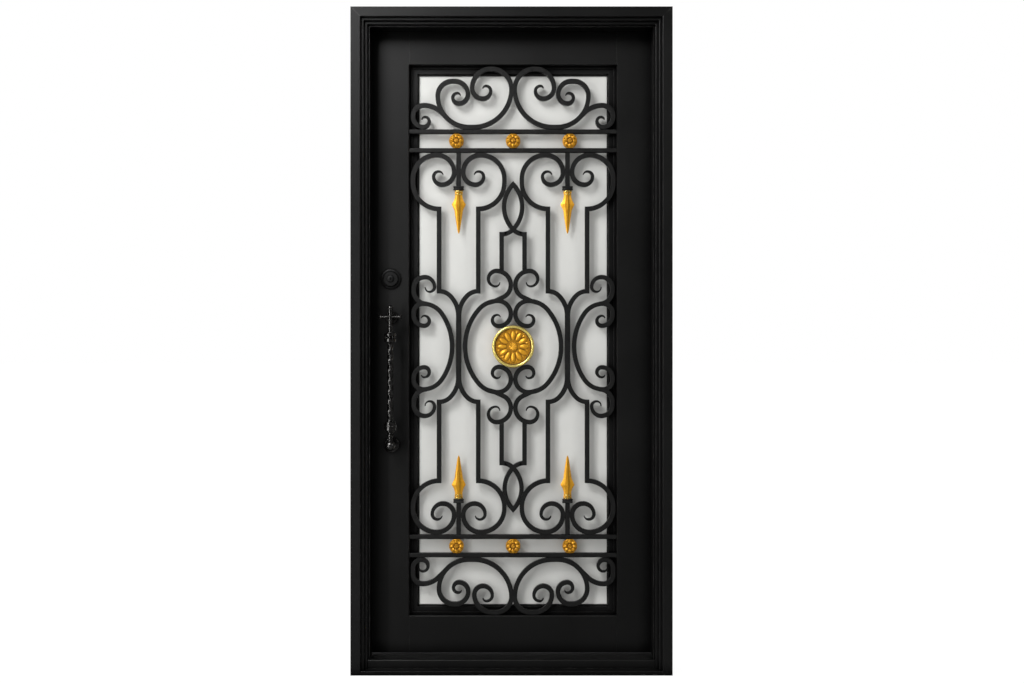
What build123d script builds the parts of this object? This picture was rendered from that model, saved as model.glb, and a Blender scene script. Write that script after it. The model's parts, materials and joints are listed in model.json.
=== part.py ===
from build123d import *
import os
from math import asin, copysign, cos, degrees, radians, sin

# Pre-hung wrought iron entry door, seen from outside along +Y.
# X runs to the right, +Z up, and the origin is under the middle of the sill.
# All sizes are in millimetres.

# Frame
FRAME_WIDTH = 1003
FRAME_HEIGHT = 2083
FRAME_DEPTH = 152
CASING_FACE = 31
STEP_WIDTH = 10
STEP_DEPTH = 10
STEP_ROUND = 2.5
STOP_REACH = 56.5
REBATE_REACH = 41.5
REBATE_DEPTH = 57

# Weather seal round the stop
SEAL_WIDTH = 7
SEAL_DEPTH = 5
SEAL_PROUD = 1

# Sill
SILL_HEIGHT = 43
SILL_ROUND = 4
SILL_LIP_HEIGHT = 13
SILL_LIP_DEPTH = 14
SILL_RISER_SETBACK = 24

# Leaf
LEAF_THICKNESS = 51
HINGE_GAP = 5
LOCK_GAP = 8
HEAD_GAP = 5
SILL_GAP = 5

# Window opening in the leaf
OPENING_WIDTH = 662
DRAWN_OPENING = 662
OPENING_CENTRE = 5
TOP_RAIL = 114.5
BOTTOM_RAIL = 118
OPENING_BEVEL = 3

# Glazed sash behind the grille
SASH_STOP_SETBACK = 18
SASH_STOP_WIDTH = 9
SASH_STOP_DEPTH = 4
SASH_FACE = 25
SASH_CLEARANCE = 1.5
SASH_BEVEL = 2
GLASS_SETBACK = 11
GLASS_THICKNESS = 12
GLASS_EDGE = 9
BEAD_WIDTH = 12
SASH_HINGE_SIZE = (46, 70, 5)
SASH_HINGE_INSET = 330

# Grille bars
BAR = 14.5
BAR_BEVEL = 1.5
CURL_THINNING = 0.8
CURL_END_TURN = 75
THINNED_BENDS = 3
GRILLE_SETBACK = 3
TOP_PANEL = 204
BOTTOM_PANEL = 184
UPPER_BAR_PITCH = 60
LOWER_BAR_PITCH = 58.5
MEDALLION_DROP = 9.4

# Vase bars with their four volutes
VASE_OFFSET = 174
VASE_HALF_WIDTH = 62.6
WAIST_HALF_HEIGHT = 177
WAIST_BENDS = (50, 89)
SPINE_WIDTH = 17
VOLUTE_REACH = 83.5
VOLUTE_CROWN = 76
VOLUTE_UPPER_RISE = 13
VOLUTE_LOWER_RISE = 5
UPPER_VOLUTE_CURL = (39.5, 26, 16.5, 14)
LOWER_VOLUTE_CURL = (36, 34, 17, 15)

# Pointed lenses and their shoulders
LENS_SHOULDER = 36.6
UPPER_LENS = (101, 144, 29)
LOWER_LENS = (80, 133, 27)

# Scrolls round the medallion
HEART_REACH = 153.6
HEART_BEND = (182, 40, 81)
HEART_CURL = (39, 20, 16, 10)
HEART_TAIL = (98, 42, 65, 54)
HEART_OUTER = (45.7, 26, 23.3, 13.4)

# Scrolls at the sides of the opening
SIDE_REACH = 195
SIDE_BEND = (185, 35, 72)
SIDE_CURL = (30, 33.5, 16, 16, 10)
SIDE_FLAT = 7
SIDE_HEAD = 187
SIDE_OUTER = (35, 31, 16, 14)
SIDE_TIP_TURN = 95
SIDE_FOOT = 41

# Double scrolls over and under the cross bars
TOP_FOOT = 128.4
TOP_RIGHT = (122, 64, 60.5, 34.5, 25, 16, 10)
TOP_RIGHT_FLATS = (1, 1)
TOP_LEFT = (100.5, 46.6, 42, 29.7, 18.8, 15, 10)
TOP_LEFT_FLATS = (12, 8)
TOP_TAIL = (24, 80)
TOP_TAIL_CURL = (34.5, 32.5, 19, 13.7, 11)
BOTTOM_FOOT = 133
BOTTOM_RIGHT = (119.5, 48.5, 56, 27.5, 30, 18.5, 12)
BOTTOM_LEFT = (94, 48, 39.6, 29.7, 17.5, 16, 10)
BOTTOM_LEFT_FLATS = (10, 6)
BOTTOM_RIGHT_FLATS = (8, 14)
BOTTOM_TAIL = (42, 70)
BOTTOM_TAIL_CURL = (31, 27, 20.8, 17, 12)

# Spears, rosettes and the medallion
SPEAR_LENGTH = 139
SPEAR_STATIONS = (
    (0, 13.5, 9),
    (0.05, 13.5, 9),
    (0.07, 10.5, 8),
    (0.2, 14, 9.5),
    (0.3, 22.8, 11.5),
    (0.35, 22.5, 11.5),
    (0.44, 15.5, 9.5),
    (0.7, 11, 8),
    (0.93, 6, 5),
    (1, 2, 2),
)
COLLAR_SIZE = (34, 22, 12.5)
COLLAR_TAPER = 0.72
UPPER_POST_LENGTH = 120
LOWER_POST_LENGTH = 113.5
ROSETTE_RADIUS = 23.4
ROSETTE_PITCH = 181
ROSETTE_PETALS = 8
PETAL_RING = 13.6
PETAL_RADIUS = 7.5
ROSETTE_BOSS = 9.4
MEDALLION_RADIUS = 67.5
MEDALLION_RIM = 10
MEDALLION_DEPTH = 18
MEDALLION_DISH = 4
MEDALLION_LEAVES = 12
LEAF_INSET = 22
LEAF_SIZE = (15, 7.5, 2.2)
MEDALLION_BOSS = 15
MEDALLION_BOSS_HEIGHT = 3.2
BOSS_TAPER = 22.5

# Handle and lock
HANDLE_OFFSET = 7
HANDLE_STANDOFF = 52
HANDLE_NECK = 77
HANDLE_TAIL = 74
GRIP_TOP = 1040
GRIP_BOTTOM = 785
GRIP_SIZE = 15.5
GRIP_CORNER = 3
GRIP_TURNS = -2
KNUCKLE_RADIUS = 19
KNUCKLE_HEIGHT = 25
KNUCKLE_RING = 7.5
KNUCKLE_WAIST = 15
STEM_RADIUS = 7.5
STANDOFF_RADIUS = 6.5
CROSS_ARM = 29
ARM_RADIUS = 4.5
ARM_KNOB = 6.3
FINIAL_RADIUS = 9
ROSE_RADIUS = 24
ROSE_THICKNESS = 8
ROSE_ROUND = 2.6
SMALL_ROSE_RADIUS = 19
FOOT_BALL = 16.8
DEADBOLT_RISE = 121
DEADBOLT_RADII = (29, 23.5, 16)
DEADBOLT_STEPS = (4, 9, 13)
KEYWAY = (2.4, 9, 5)
TURN_SIZE = (8, 34, 18)
TURN_ROUND = 2.6
INSIDE_PULL_RADIUS = 9
INSIDE_POST_RADIUS = 7.5
FACEPLATE = (25, 230, 3)
STRIKE_SIZE = (32, 130, 3)
LATCH_DROP = 58

# Leaf hinges
HINGE_HEIGHTS = (250, 1045, 1840)
HINGE_KNUCKLE = 40
HINGE_RADIUS = 9
HINGE_PIN = 5
HINGE_FIT = 0.06
HINGE_END_GAP = 0.6
HINGE_PLATE_WIDTH = 32
HINGE_PLATE = 3
HINGE_NOTCH = 12
HINGE_CAP = 3.5

# Levels and planes that follow from the sizes above
FRONT = -FRAME_DEPTH / 2
BACK = FRAME_DEPTH / 2
STOP_BACK = BACK - REBATE_DEPTH
LEAF_FRONT = BACK - LEAF_THICKNESS
HALF_FRAME = FRAME_WIDTH / 2
LEAF_LEFT = -HALF_FRAME + REBATE_REACH + LOCK_GAP
LEAF_RIGHT = HALF_FRAME - REBATE_REACH - HINGE_GAP
LEAF_BOTTOM = SILL_HEIGHT + SILL_GAP
LEAF_TOP = FRAME_HEIGHT - REBATE_REACH - HEAD_GAP
OPENING_LEFT = OPENING_CENTRE - OPENING_WIDTH / 2
OPENING_RIGHT = OPENING_CENTRE + OPENING_WIDTH / 2
OPENING_BOTTOM = LEAF_BOTTOM + BOTTOM_RAIL
OPENING_TOP = LEAF_TOP - TOP_RAIL
OPENING_HEIGHT = OPENING_TOP - OPENING_BOTTOM
GRILLE_FRONT = LEAF_FRONT + GRILLE_SETBACK
GRILLE_MIDDLE = GRILLE_FRONT + BAR / 2
GRILLE_BACK = GRILLE_FRONT + BAR
SASH_STOP_FRONT = LEAF_FRONT + SASH_STOP_SETBACK
SASH_FRONT = SASH_STOP_FRONT + SASH_STOP_DEPTH
GLASS_FRONT = SASH_FRONT + GLASS_SETBACK
GLASS_BACK = GLASS_FRONT + GLASS_THICKNESS
HANDLE_X = (LEAF_LEFT + OPENING_LEFT) / 2 + HANDLE_OFFSET
HANDLE_TOP = GRIP_TOP + HANDLE_NECK
HANDLE_BOTTOM = GRIP_BOTTOM - HANDLE_TAIL
DEADBOLT_Z = HANDLE_TOP + DEADBOLT_RISE
LATCH_Z = DEADBOLT_Z - LATCH_DROP

# The grille is drawn for an opening of DRAWN_OPENING, and grows or shrinks with the opening.
GRILLE_SCALE = OPENING_WIDTH / DRAWN_OPENING
STROKE = BAR / GRILLE_SCALE
BAR_A = OPENING_TOP - TOP_PANEL * GRILLE_SCALE - BAR / 2
BAR_B = BAR_A - UPPER_BAR_PITCH
BAR_D = OPENING_BOTTOM + BOTTOM_PANEL * GRILLE_SCALE + BAR / 2
BAR_C = BAR_D + LOWER_BAR_PITCH
GRILLE_CENTRE = (BAR_B + BAR_C) / 2 - MEDALLION_DROP

# Heights in the drawing are measured from the centre of the medallion.
A_LOW = (BAR_A - BAR / 2 - GRILLE_CENTRE) / GRILLE_SCALE
A_HIGH = A_LOW + STROKE
B_LOW = (BAR_B - BAR / 2 - GRILLE_CENTRE) / GRILLE_SCALE
B_HIGH = B_LOW + STROKE
C_HIGH = (BAR_C + BAR / 2 - GRILLE_CENTRE) / GRILLE_SCALE
C_LOW = C_HIGH - STROKE
D_HIGH = (BAR_D + BAR / 2 - GRILLE_CENTRE) / GRILLE_SCALE
D_LOW = D_HIGH - STROKE
HALF_OPENING = DRAWN_OPENING / 2
QUARTER = 90
MITRE = 45

GRILLE_PLANE = Plane(
    origin=(OPENING_CENTRE, GRILLE_BACK, GRILLE_CENTRE),
    x_dir=(1, 0, 0),
    z_dir=(0, -1, 0),
)


os.makedirs("parts", exist_ok=True)


def save(piece, name):
    """Label a finished piece and write it as one STEP file."""
    piece.label = name
    export_step(piece, f"parts/{name}.step")


def facing(depth):
    """Plane that faces the viewer at a given depth, with X across and Z up."""
    return Plane.XZ.offset(-depth)


def forged_bar(start, heading, bends, widths):
    """Outline of a bar bent in its plane. Each bend is (radius, turn), or (length, 0) for a straight run."""
    left = []
    right = []
    x, z = start
    for (size, turn), near, far in zip(bends, widths, widths[1:]):
        side = copysign(1, turn)
        centre_x = x - side * size * sin(radians(heading))
        centre_z = z + side * size * cos(radians(heading))
        for share in (0, 0.5, 1):
            angle = radians(heading + turn * share)
            if turn:
                point_x = centre_x + side * size * sin(angle)
                point_z = centre_z - side * size * cos(angle)
            else:
                point_x = x + size * share * cos(angle)
                point_z = z + size * share * sin(angle)
            half = (near + (far - near) * share) / 2
            left.append((point_x - half * sin(angle), point_z + half * cos(angle)))
            right.append((point_x + half * sin(angle), point_z - half * cos(angle)))
        x, z = point_x, point_z
        heading += turn
    with BuildSketch() as outline:
        with BuildLine():
            for edge in (left, right):
                for number, (size, turn) in enumerate(bends):
                    near, middle, far = edge[3 * number : 3 * number + 3]
                    if turn:
                        ThreePointArc(near, middle, far)
                    else:
                        Line(near, far)
            Line(left[0], right[0])
            Line(left[-1], right[-1])
        make_face()
    return outline.sketch


def curl_widths(count):
    """Full width along a bar, drawn down to a thin tip over its last bends."""
    full = [STROKE] * (count + 1 - THINNED_BENDS)
    thinned = [STROKE * (1 - CURL_THINNING * (step + 1) / THINNED_BENDS) for step in range(THINNED_BENDS)]
    return full + thinned


def scroll(start, heading, side, radii, lead=(), last=CURL_END_TURN):
    """A bar that winds up in quarter turns of falling radius; side is 1 to wind left and -1 to wind right."""
    bends = list(lead) + [(radius, side * QUARTER) for radius in radii[:-1]]
    bends.append((radii[-1], side * last))
    return forged_bar(start, heading, bends, curl_widths(len(bends)))


# Jambs and head, with the casing face stepping back to the stop
def casing_profile():
    """Half of the frame's section: across from the outer face, then depth from front to back."""
    steps = [(0, BACK), (0, FRONT), (CASING_FACE, FRONT)]
    across = CASING_FACE
    depth = FRONT
    for number in range(2):
        depth += STEP_DEPTH
        steps.append((across, depth))
        across += STEP_WIDTH
        steps.append((across, depth))
    depth += STEP_DEPTH
    steps += [(across, depth), (STOP_REACH, depth), (STOP_REACH, STOP_BACK), (REBATE_REACH, STOP_BACK)]
    steps.append((REBATE_REACH, BACK))
    return steps


def frame_member(section_plane, length, mitres):
    """One length of the stepped frame section, cut to its mitres."""
    with BuildPart() as member:
        with BuildSketch(section_plane):
            with BuildLine():
                Polyline(*casing_profile(), close=True)
            make_face()
        extrude(amount=length)
        arrises = member.edges().filter_by(Axis((0, 0, 0), section_plane.z_dir))
        across = [CASING_FACE, CASING_FACE + STEP_WIDTH, CASING_FACE + 2 * STEP_WIDTH]
        noses = []
        for number, reach in enumerate(across):
            nose = section_plane.from_local_coords((reach, FRONT + number * STEP_DEPTH, length / 2))
            noses.append(arrises.sort_by_distance(nose)[0])
        fillet(noses, STEP_ROUND)
        for mitre in mitres:
            split(bisect_by=mitre, keep=Keep.BOTTOM)
    return member.part


LOCK_SECTION = Plane(origin=(-HALF_FRAME, 0, 0), x_dir=(1, 0, 0), z_dir=(0, 0, 1))
HEAD_SECTION = Plane(origin=(-HALF_FRAME, 0, FRAME_HEIGHT), x_dir=(0, 0, -1), z_dir=(1, 0, 0))
LEFT_MITRE = Plane(origin=(-HALF_FRAME, 0, FRAME_HEIGHT), x_dir=(0, 1, 0), z_dir=(1, 0, 1))
RIGHT_MITRE = Plane(origin=(HALF_FRAME, 0, FRAME_HEIGHT), x_dir=(0, 1, 0), z_dir=(-1, 0, 1))

lock_jamb = frame_member(LOCK_SECTION, FRAME_HEIGHT, [LEFT_MITRE])
hinge_jamb = mirror(lock_jamb, about=Plane.YZ)
head = frame_member(HEAD_SECTION, FRAME_WIDTH, [-LEFT_MITRE, -RIGHT_MITRE])

# The seal sits in a groove along the back of the stop, up one side, over the head and down the other.
SEAL_MIDDLE = (STOP_REACH + REBATE_REACH) / 2
with BuildPart() as weather_seal:
    seal_outer = FRAME_WIDTH - 2 * SEAL_MIDDLE + SEAL_WIDTH
    seal_top = FRAME_HEIGHT - SEAL_MIDDLE + SEAL_WIDTH / 2
    seal_centre = (SILL_HEIGHT + seal_top) / 2
    with BuildSketch(facing(STOP_BACK + SEAL_PROUD)):
        with Locations((0, seal_centre)):
            Rectangle(seal_outer, seal_top - SILL_HEIGHT)
        with Locations((0, seal_centre - SEAL_WIDTH)):
            Rectangle(seal_outer - 2 * SEAL_WIDTH, seal_top - SILL_HEIGHT, mode=Mode.SUBTRACT)
    extrude(amount=SEAL_DEPTH + SEAL_PROUD)

# The strike plate is let into the lock jamb, flush with the rebate.
STRIKE_Y = (LEAF_FRONT + BACK) / 2
STRIKE_FACE = -HALF_FRAME + REBATE_REACH
with BuildPart() as strike_plate:
    with BuildSketch(Plane.YZ.offset(STRIKE_FACE)):
        with Locations((STRIKE_Y, (DEADBOLT_Z + LATCH_Z) / 2)):
            RectangleRounded(STRIKE_SIZE[0], STRIKE_SIZE[1], STRIKE_SIZE[2])
    extrude(amount=-STRIKE_SIZE[2])

with BuildPart() as jamb_lock_side:
    add(lock_jamb)
    add(weather_seal.part, mode=Mode.SUBTRACT)
    add(strike_plate.part, mode=Mode.SUBTRACT)

with BuildPart() as jamb_hinge_side:
    add(hinge_jamb)
    add(weather_seal.part, mode=Mode.SUBTRACT)

with BuildPart() as head_jamb:
    add(head)
    add(weather_seal.part, mode=Mode.SUBTRACT)

# Sill between the jambs: a low lip in front, a set back riser and a flat tread
with BuildPart() as threshold:
    with BuildSketch(Plane.YZ.offset(-HALF_FRAME + CASING_FACE)):
        with BuildLine():
            riser = FRONT + SILL_RISER_SETBACK
            lip_back = FRONT + SILL_LIP_DEPTH
            Polyline(
                (BACK, 0),
                (FRONT, 0),
                (FRONT, SILL_LIP_HEIGHT),
                (lip_back, SILL_LIP_HEIGHT),
                (riser, SILL_LIP_HEIGHT + SILL_ROUND),
                (riser, SILL_HEIGHT),
                (BACK, SILL_HEIGHT),
                close=True,
            )
        make_face()
    extrude(amount=FRAME_WIDTH - 2 * CASING_FACE)
    long_edges = threshold.edges().filter_by(Axis.X)
    fillet(long_edges.sort_by_distance((0, riser, SILL_HEIGHT))[0], SILL_ROUND)
    fillet(long_edges.sort_by_distance((0, FRONT, SILL_LIP_HEIGHT))[0], SILL_ROUND / 2)
    add(lock_jamb, mode=Mode.SUBTRACT)
    add(hinge_jamb, mode=Mode.SUBTRACT)

save(jamb_lock_side.part, "jamb_lock_side")
save(jamb_hinge_side.part, "jamb_hinge_side")
save(head_jamb.part, "head_jamb")
save(threshold.part, "threshold")
save(weather_seal.part, "weather_seal")
save(strike_plate.part, "strike_plate")


# Leaf: two stiles the full height with rails between them
def box_between(low, high):
    """A plain bar of the leaf or sash between two corners."""
    size = [far - near for near, far in zip(low, high)]
    middle = [(near + far) / 2 for near, far in zip(low, high)]
    with BuildPart() as bar:
        with Locations(tuple(middle)):
            Box(*size)
    return bar.part


with BuildPart() as opening_bevel:
    with BuildSketch(facing(LEAF_FRONT)):
        with Locations((OPENING_CENTRE, (OPENING_TOP + OPENING_BOTTOM) / 2)):
            Rectangle(OPENING_WIDTH + 2 * OPENING_BEVEL, OPENING_HEIGHT + 2 * OPENING_BEVEL)
    with BuildSketch(facing(LEAF_FRONT + OPENING_BEVEL)):
        with Locations((OPENING_CENTRE, (OPENING_TOP + OPENING_BOTTOM) / 2)):
            Rectangle(OPENING_WIDTH, OPENING_HEIGHT)
    loft()

with BuildPart() as faceplate:
    with BuildSketch(Plane.YZ.offset(LEAF_LEFT)):
        with Locations((STRIKE_Y, (DEADBOLT_Z + LATCH_Z) / 2)):
            RectangleRounded(FACEPLATE[0], FACEPLATE[1], FACEPLATE[2])
    extrude(amount=FACEPLATE[2])

leaf_bars = {
    "lock_stile": ((LEAF_LEFT, LEAF_FRONT, LEAF_BOTTOM), (OPENING_LEFT, BACK, LEAF_TOP)),
    "hinge_stile": ((OPENING_RIGHT, LEAF_FRONT, LEAF_BOTTOM), (LEAF_RIGHT, BACK, LEAF_TOP)),
    "top_rail": ((OPENING_LEFT, LEAF_FRONT, OPENING_TOP), (OPENING_RIGHT, BACK, LEAF_TOP)),
    "bottom_rail": ((OPENING_LEFT, LEAF_FRONT, LEAF_BOTTOM), (OPENING_RIGHT, BACK, OPENING_BOTTOM)),
}
for name, (low, high) in leaf_bars.items():
    with BuildPart() as leaf_bar:
        add(box_between(low, high))
        add(opening_bevel.part, mode=Mode.SUBTRACT)
        add(faceplate.part, mode=Mode.SUBTRACT)
    save(leaf_bar.part, name)
save(faceplate.part, "lock_faceplate")

# Stop that the sash closes against, welded round the inside of the opening
with BuildPart() as sash_stop:
    with BuildSketch(facing(SASH_FRONT)):
        with Locations((OPENING_CENTRE, (OPENING_TOP + OPENING_BOTTOM) / 2)):
            Rectangle(OPENING_WIDTH, OPENING_HEIGHT)
            Rectangle(
                OPENING_WIDTH - 2 * SASH_STOP_WIDTH,
                OPENING_HEIGHT - 2 * SASH_STOP_WIDTH,
                mode=Mode.SUBTRACT,
            )
    extrude(amount=SASH_STOP_DEPTH)
save(sash_stop.part, "sash_stop")

# Sash: four bars round the glass, rebated for it, and a bead that holds it from inside
SASH_LEFT = OPENING_LEFT + SASH_CLEARANCE
SASH_RIGHT = OPENING_RIGHT - SASH_CLEARANCE
SASH_BOTTOM = OPENING_BOTTOM + SASH_CLEARANCE
SASH_TOP = OPENING_TOP - SASH_CLEARANCE
GLASS_LEFT = SASH_LEFT + SASH_FACE
GLASS_RIGHT = SASH_RIGHT - SASH_FACE
GLASS_LOW = SASH_BOTTOM + SASH_FACE
GLASS_HIGH = SASH_TOP - SASH_FACE

with BuildPart() as glass_pane:
    with BuildSketch(facing(GLASS_BACK)):
        with Locations(((GLASS_LEFT + GLASS_RIGHT) / 2, (GLASS_LOW + GLASS_HIGH) / 2)):
            Rectangle(GLASS_RIGHT - GLASS_LEFT + 2 * GLASS_EDGE, GLASS_HIGH - GLASS_LOW + 2 * GLASS_EDGE)
    extrude(amount=GLASS_THICKNESS)

with BuildPart() as glazing_bead:
    with BuildSketch(facing(BACK)):
        with Locations(((GLASS_LEFT + GLASS_RIGHT) / 2, (GLASS_LOW + GLASS_HIGH) / 2)):
            Rectangle(GLASS_RIGHT - GLASS_LEFT + 2 * GLASS_EDGE, GLASS_HIGH - GLASS_LOW + 2 * GLASS_EDGE)
            Rectangle(
                GLASS_RIGHT - GLASS_LEFT + 2 * GLASS_EDGE - 2 * BEAD_WIDTH,
                GLASS_HIGH - GLASS_LOW + 2 * GLASS_EDGE - 2 * BEAD_WIDTH,
                mode=Mode.SUBTRACT,
            )
    extrude(amount=BACK - GLASS_BACK)

with BuildPart() as sash_bevel:
    with BuildSketch(facing(SASH_FRONT)):
        with Locations(((GLASS_LEFT + GLASS_RIGHT) / 2, (GLASS_LOW + GLASS_HIGH) / 2)):
            Rectangle(GLASS_RIGHT - GLASS_LEFT + 2 * SASH_BEVEL, GLASS_HIGH - GLASS_LOW + 2 * SASH_BEVEL)
    with BuildSketch(facing(GLASS_FRONT)):
        with Locations(((GLASS_LEFT + GLASS_RIGHT) / 2, (GLASS_LOW + GLASS_HIGH) / 2)):
            Rectangle(GLASS_RIGHT - GLASS_LEFT, GLASS_HIGH - GLASS_LOW)
    loft()

sash_bars = {
    "sash_left": ((SASH_LEFT, SASH_FRONT, SASH_BOTTOM), (GLASS_LEFT, BACK, SASH_TOP)),
    "sash_right": ((GLASS_RIGHT, SASH_FRONT, SASH_BOTTOM), (SASH_RIGHT, BACK, SASH_TOP)),
    "sash_top": ((GLASS_LEFT, SASH_FRONT, GLASS_HIGH), (GLASS_RIGHT, BACK, SASH_TOP)),
    "sash_bottom": ((GLASS_LEFT, SASH_FRONT, SASH_BOTTOM), (GLASS_RIGHT, BACK, GLASS_LOW)),
}
for name, (low, high) in sash_bars.items():
    with BuildPart() as sash_bar:
        add(box_between(low, high))
        add(sash_bevel.part, mode=Mode.SUBTRACT)
        add(glass_pane.part, mode=Mode.SUBTRACT)
        add(glazing_bead.part, mode=Mode.SUBTRACT)
    save(sash_bar.part, name)
save(glass_pane.part, "glass_pane")
save(glazing_bead.part, "glazing_bead")

# Plates on the inside face that hang the sash on one side and clip it shut on the other
for name, edge in (("sash_hinges", OPENING_RIGHT), ("sash_clips", OPENING_LEFT)):
    with BuildPart() as plates:
        for level in (OPENING_BOTTOM + SASH_HINGE_INSET, OPENING_TOP - SASH_HINGE_INSET):
            with BuildSketch(facing(BACK + SASH_HINGE_SIZE[2])):
                with Locations((edge, level)):
                    RectangleRounded(SASH_HINGE_SIZE[0], SASH_HINGE_SIZE[1], SASH_HINGE_SIZE[2])
            extrude(amount=SASH_HINGE_SIZE[2])
    save(plates.part, name)


# Cross bars, which are the only pieces of the grille that reach the stiles
def cross_bars(levels):
    """Two flat bars right across the opening with a bevel along their front edges."""
    with BuildPart() as bars:
        for level in levels:
            with Locations((OPENING_CENTRE, GRILLE_MIDDLE, level)):
                Box(OPENING_WIDTH, BAR, BAR)
        front_face = bars.faces().filter_by(Axis.Y).group_by(Axis.Y)[0]
        chamfer(front_face.edges().filter_by(Axis.X), BAR_BEVEL)
    return bars.part


save(cross_bars((BAR_A, BAR_B)), "cross_bars_upper")
save(cross_bars((BAR_C, BAR_D)), "cross_bars_lower")


def block(sketch_low, sketch_high):
    """A rectangle between two corners of the grille drawing."""
    with BuildSketch() as area:
        width = sketch_high[0] - sketch_low[0]
        height = sketch_high[1] - sketch_low[1]
        with Locations(((sketch_low[0] + sketch_high[0]) / 2, (sketch_low[1] + sketch_high[1]) / 2)):
            Rectangle(width, height)
    return area.sketch


def vase_half():
    """Left half of a vase bar, about its own axis: spine, waist curves, uprights and two volutes."""
    upper_corner = B_LOW - STROKE / 2 - VOLUTE_CROWN - VOLUTE_UPPER_RISE - VOLUTE_REACH
    lower_corner = C_HIGH + STROKE / 2 + VOLUTE_CROWN + VOLUTE_LOWER_RISE + VOLUTE_REACH
    crown_axis = -VASE_HALF_WIDTH - VOLUTE_REACH + VOLUTE_CROWN
    inner_turn = -STROKE - crown_axis
    ends = (
        (1, upper_corner, VOLUTE_UPPER_RISE, UPPER_VOLUTE_CURL),
        (-1, lower_corner, VOLUTE_LOWER_RISE, LOWER_VOLUTE_CURL),
    )
    first, second = WAIST_BENDS
    waist_drop = first * (1 - cos(radians(MITRE))) + second * sin(radians(MITRE))
    with BuildSketch() as half:
        for way, corner, rise, curl in ends:
            lead = ((VOLUTE_REACH, -way * QUARTER), (rise, 0))
            radii = (VOLUTE_CROWN, inner_turn) + curl
            add(scroll((-VASE_HALF_WIDTH, corner), 2 * QUARTER, -way, radii, lead=lead))
            waist = way * WAIST_HALF_HEIGHT
            post_ends = sorted((corner + way * STROKE / 2, waist - way * STROKE / 2))
            left_edge = -VASE_HALF_WIDTH - STROKE / 2
            add(block((left_edge, post_ends[0]), (left_edge + STROKE, post_ends[1])))
            bends = ((first, -way * MITRE), (second, -way * MITRE))
            add(forged_bar((-VASE_HALF_WIDTH, waist), 0, bends, (STROKE, STROKE, STROKE)))
        spine_end = WAIST_HALF_HEIGHT - waist_drop
        add(block((-SPINE_WIDTH / 2, -spine_end), (SPINE_WIDTH / 2, spine_end)))
        add(block((0, -FRAME_HEIGHT), (FRAME_WIDTH, FRAME_HEIGHT)), mode=Mode.SUBTRACT)
    return half.sketch


def bars_drawing():
    """The cross bars and the spear posts, which the scrolls are filed to fit."""
    upper_post = UPPER_POST_LENGTH / GRILLE_SCALE
    lower_post = LOWER_POST_LENGTH / GRILLE_SCALE
    with BuildSketch() as drawing:
        for low, high in ((A_LOW, A_HIGH), (B_LOW, B_HIGH), (C_LOW, C_HIGH), (D_LOW, D_HIGH)):
            add(block((-HALF_OPENING, low), (HALF_OPENING, high)))
        for side in (-1, 1):
            axis = side * VASE_OFFSET
            add(block((axis - STROKE / 2, B_LOW - upper_post), (axis + STROKE / 2, B_LOW)))
            add(block((axis - STROKE / 2, C_HIGH), (axis + STROKE / 2, C_HIGH + lower_post)))
    return drawing.sketch


def both_sides(half):
    """A drawing and its mirror image about the axis of the grille."""
    with BuildSketch() as whole:
        add(half)
        mirror(about=Plane.YZ)
    return whole.sketch


def less(sketch, *others):
    """A drawing with its neighbours cut away, so that it meets them face to face."""
    with BuildSketch() as rest:
        add(sketch)
        for other in others:
            add(other, mode=Mode.SUBTRACT)
    return rest.sketch


def grille_piece(sketch, name):
    """Give a drawing of the grille its thickness and write it."""
    with BuildSketch() as fitted:
        add(sketch)
        scale(by=GRILLE_SCALE)
    with BuildPart() as piece:
        with BuildSketch(GRILLE_PLANE):
            add(fitted.sketch)
        extrude(amount=BAR)
    save(piece.part, name)


bars = bars_drawing()
vase = less(both_sides(vase_half()), Pos(VASE_OFFSET, 0) * bars)
vase_left = Pos(-VASE_OFFSET, 0) * vase
vase_right = Pos(VASE_OFFSET, 0) * vase


def heart_half():
    """Left scroll of the heart round the medallion, about the medallion's centre."""
    bend, angle, shoulder = HEART_BEND
    crown_x = -HEART_REACH + bend * (1 - cos(radians(angle))) + shoulder * cos(radians(angle))
    inner_turn = -STROKE / 2 - crown_x
    with BuildSketch() as half:
        lead = ((bend, -angle), (shoulder, angle - QUARTER))
        add(scroll((-HEART_REACH, 0), QUARTER, -1, (inner_turn,) + HEART_CURL, lead=lead))
        outer_level, neck, neck_turn, tail = HEART_TAIL
        start = (-STROKE / 2, 2 * outer_level)
        add(scroll(start, QUARTER, 1, HEART_OUTER, last=QUARTER))
        add(forged_bar(start, -QUARTER, ((neck, -neck_turn), (tail, 0)), (STROKE, STROKE, STROKE)))
        mirror(about=Plane.XZ)
        add(block((0, -FRAME_HEIGHT), (FRAME_WIDTH, FRAME_HEIGHT)), mode=Mode.SUBTRACT)
    return half.sketch


with BuildSketch() as medallion_disc:
    Circle(MEDALLION_RADIUS)

heart_left = less(heart_half(), medallion_disc.sketch, vase_left)
heart_right = mirror(heart_left, about=Plane.YZ)


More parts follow.
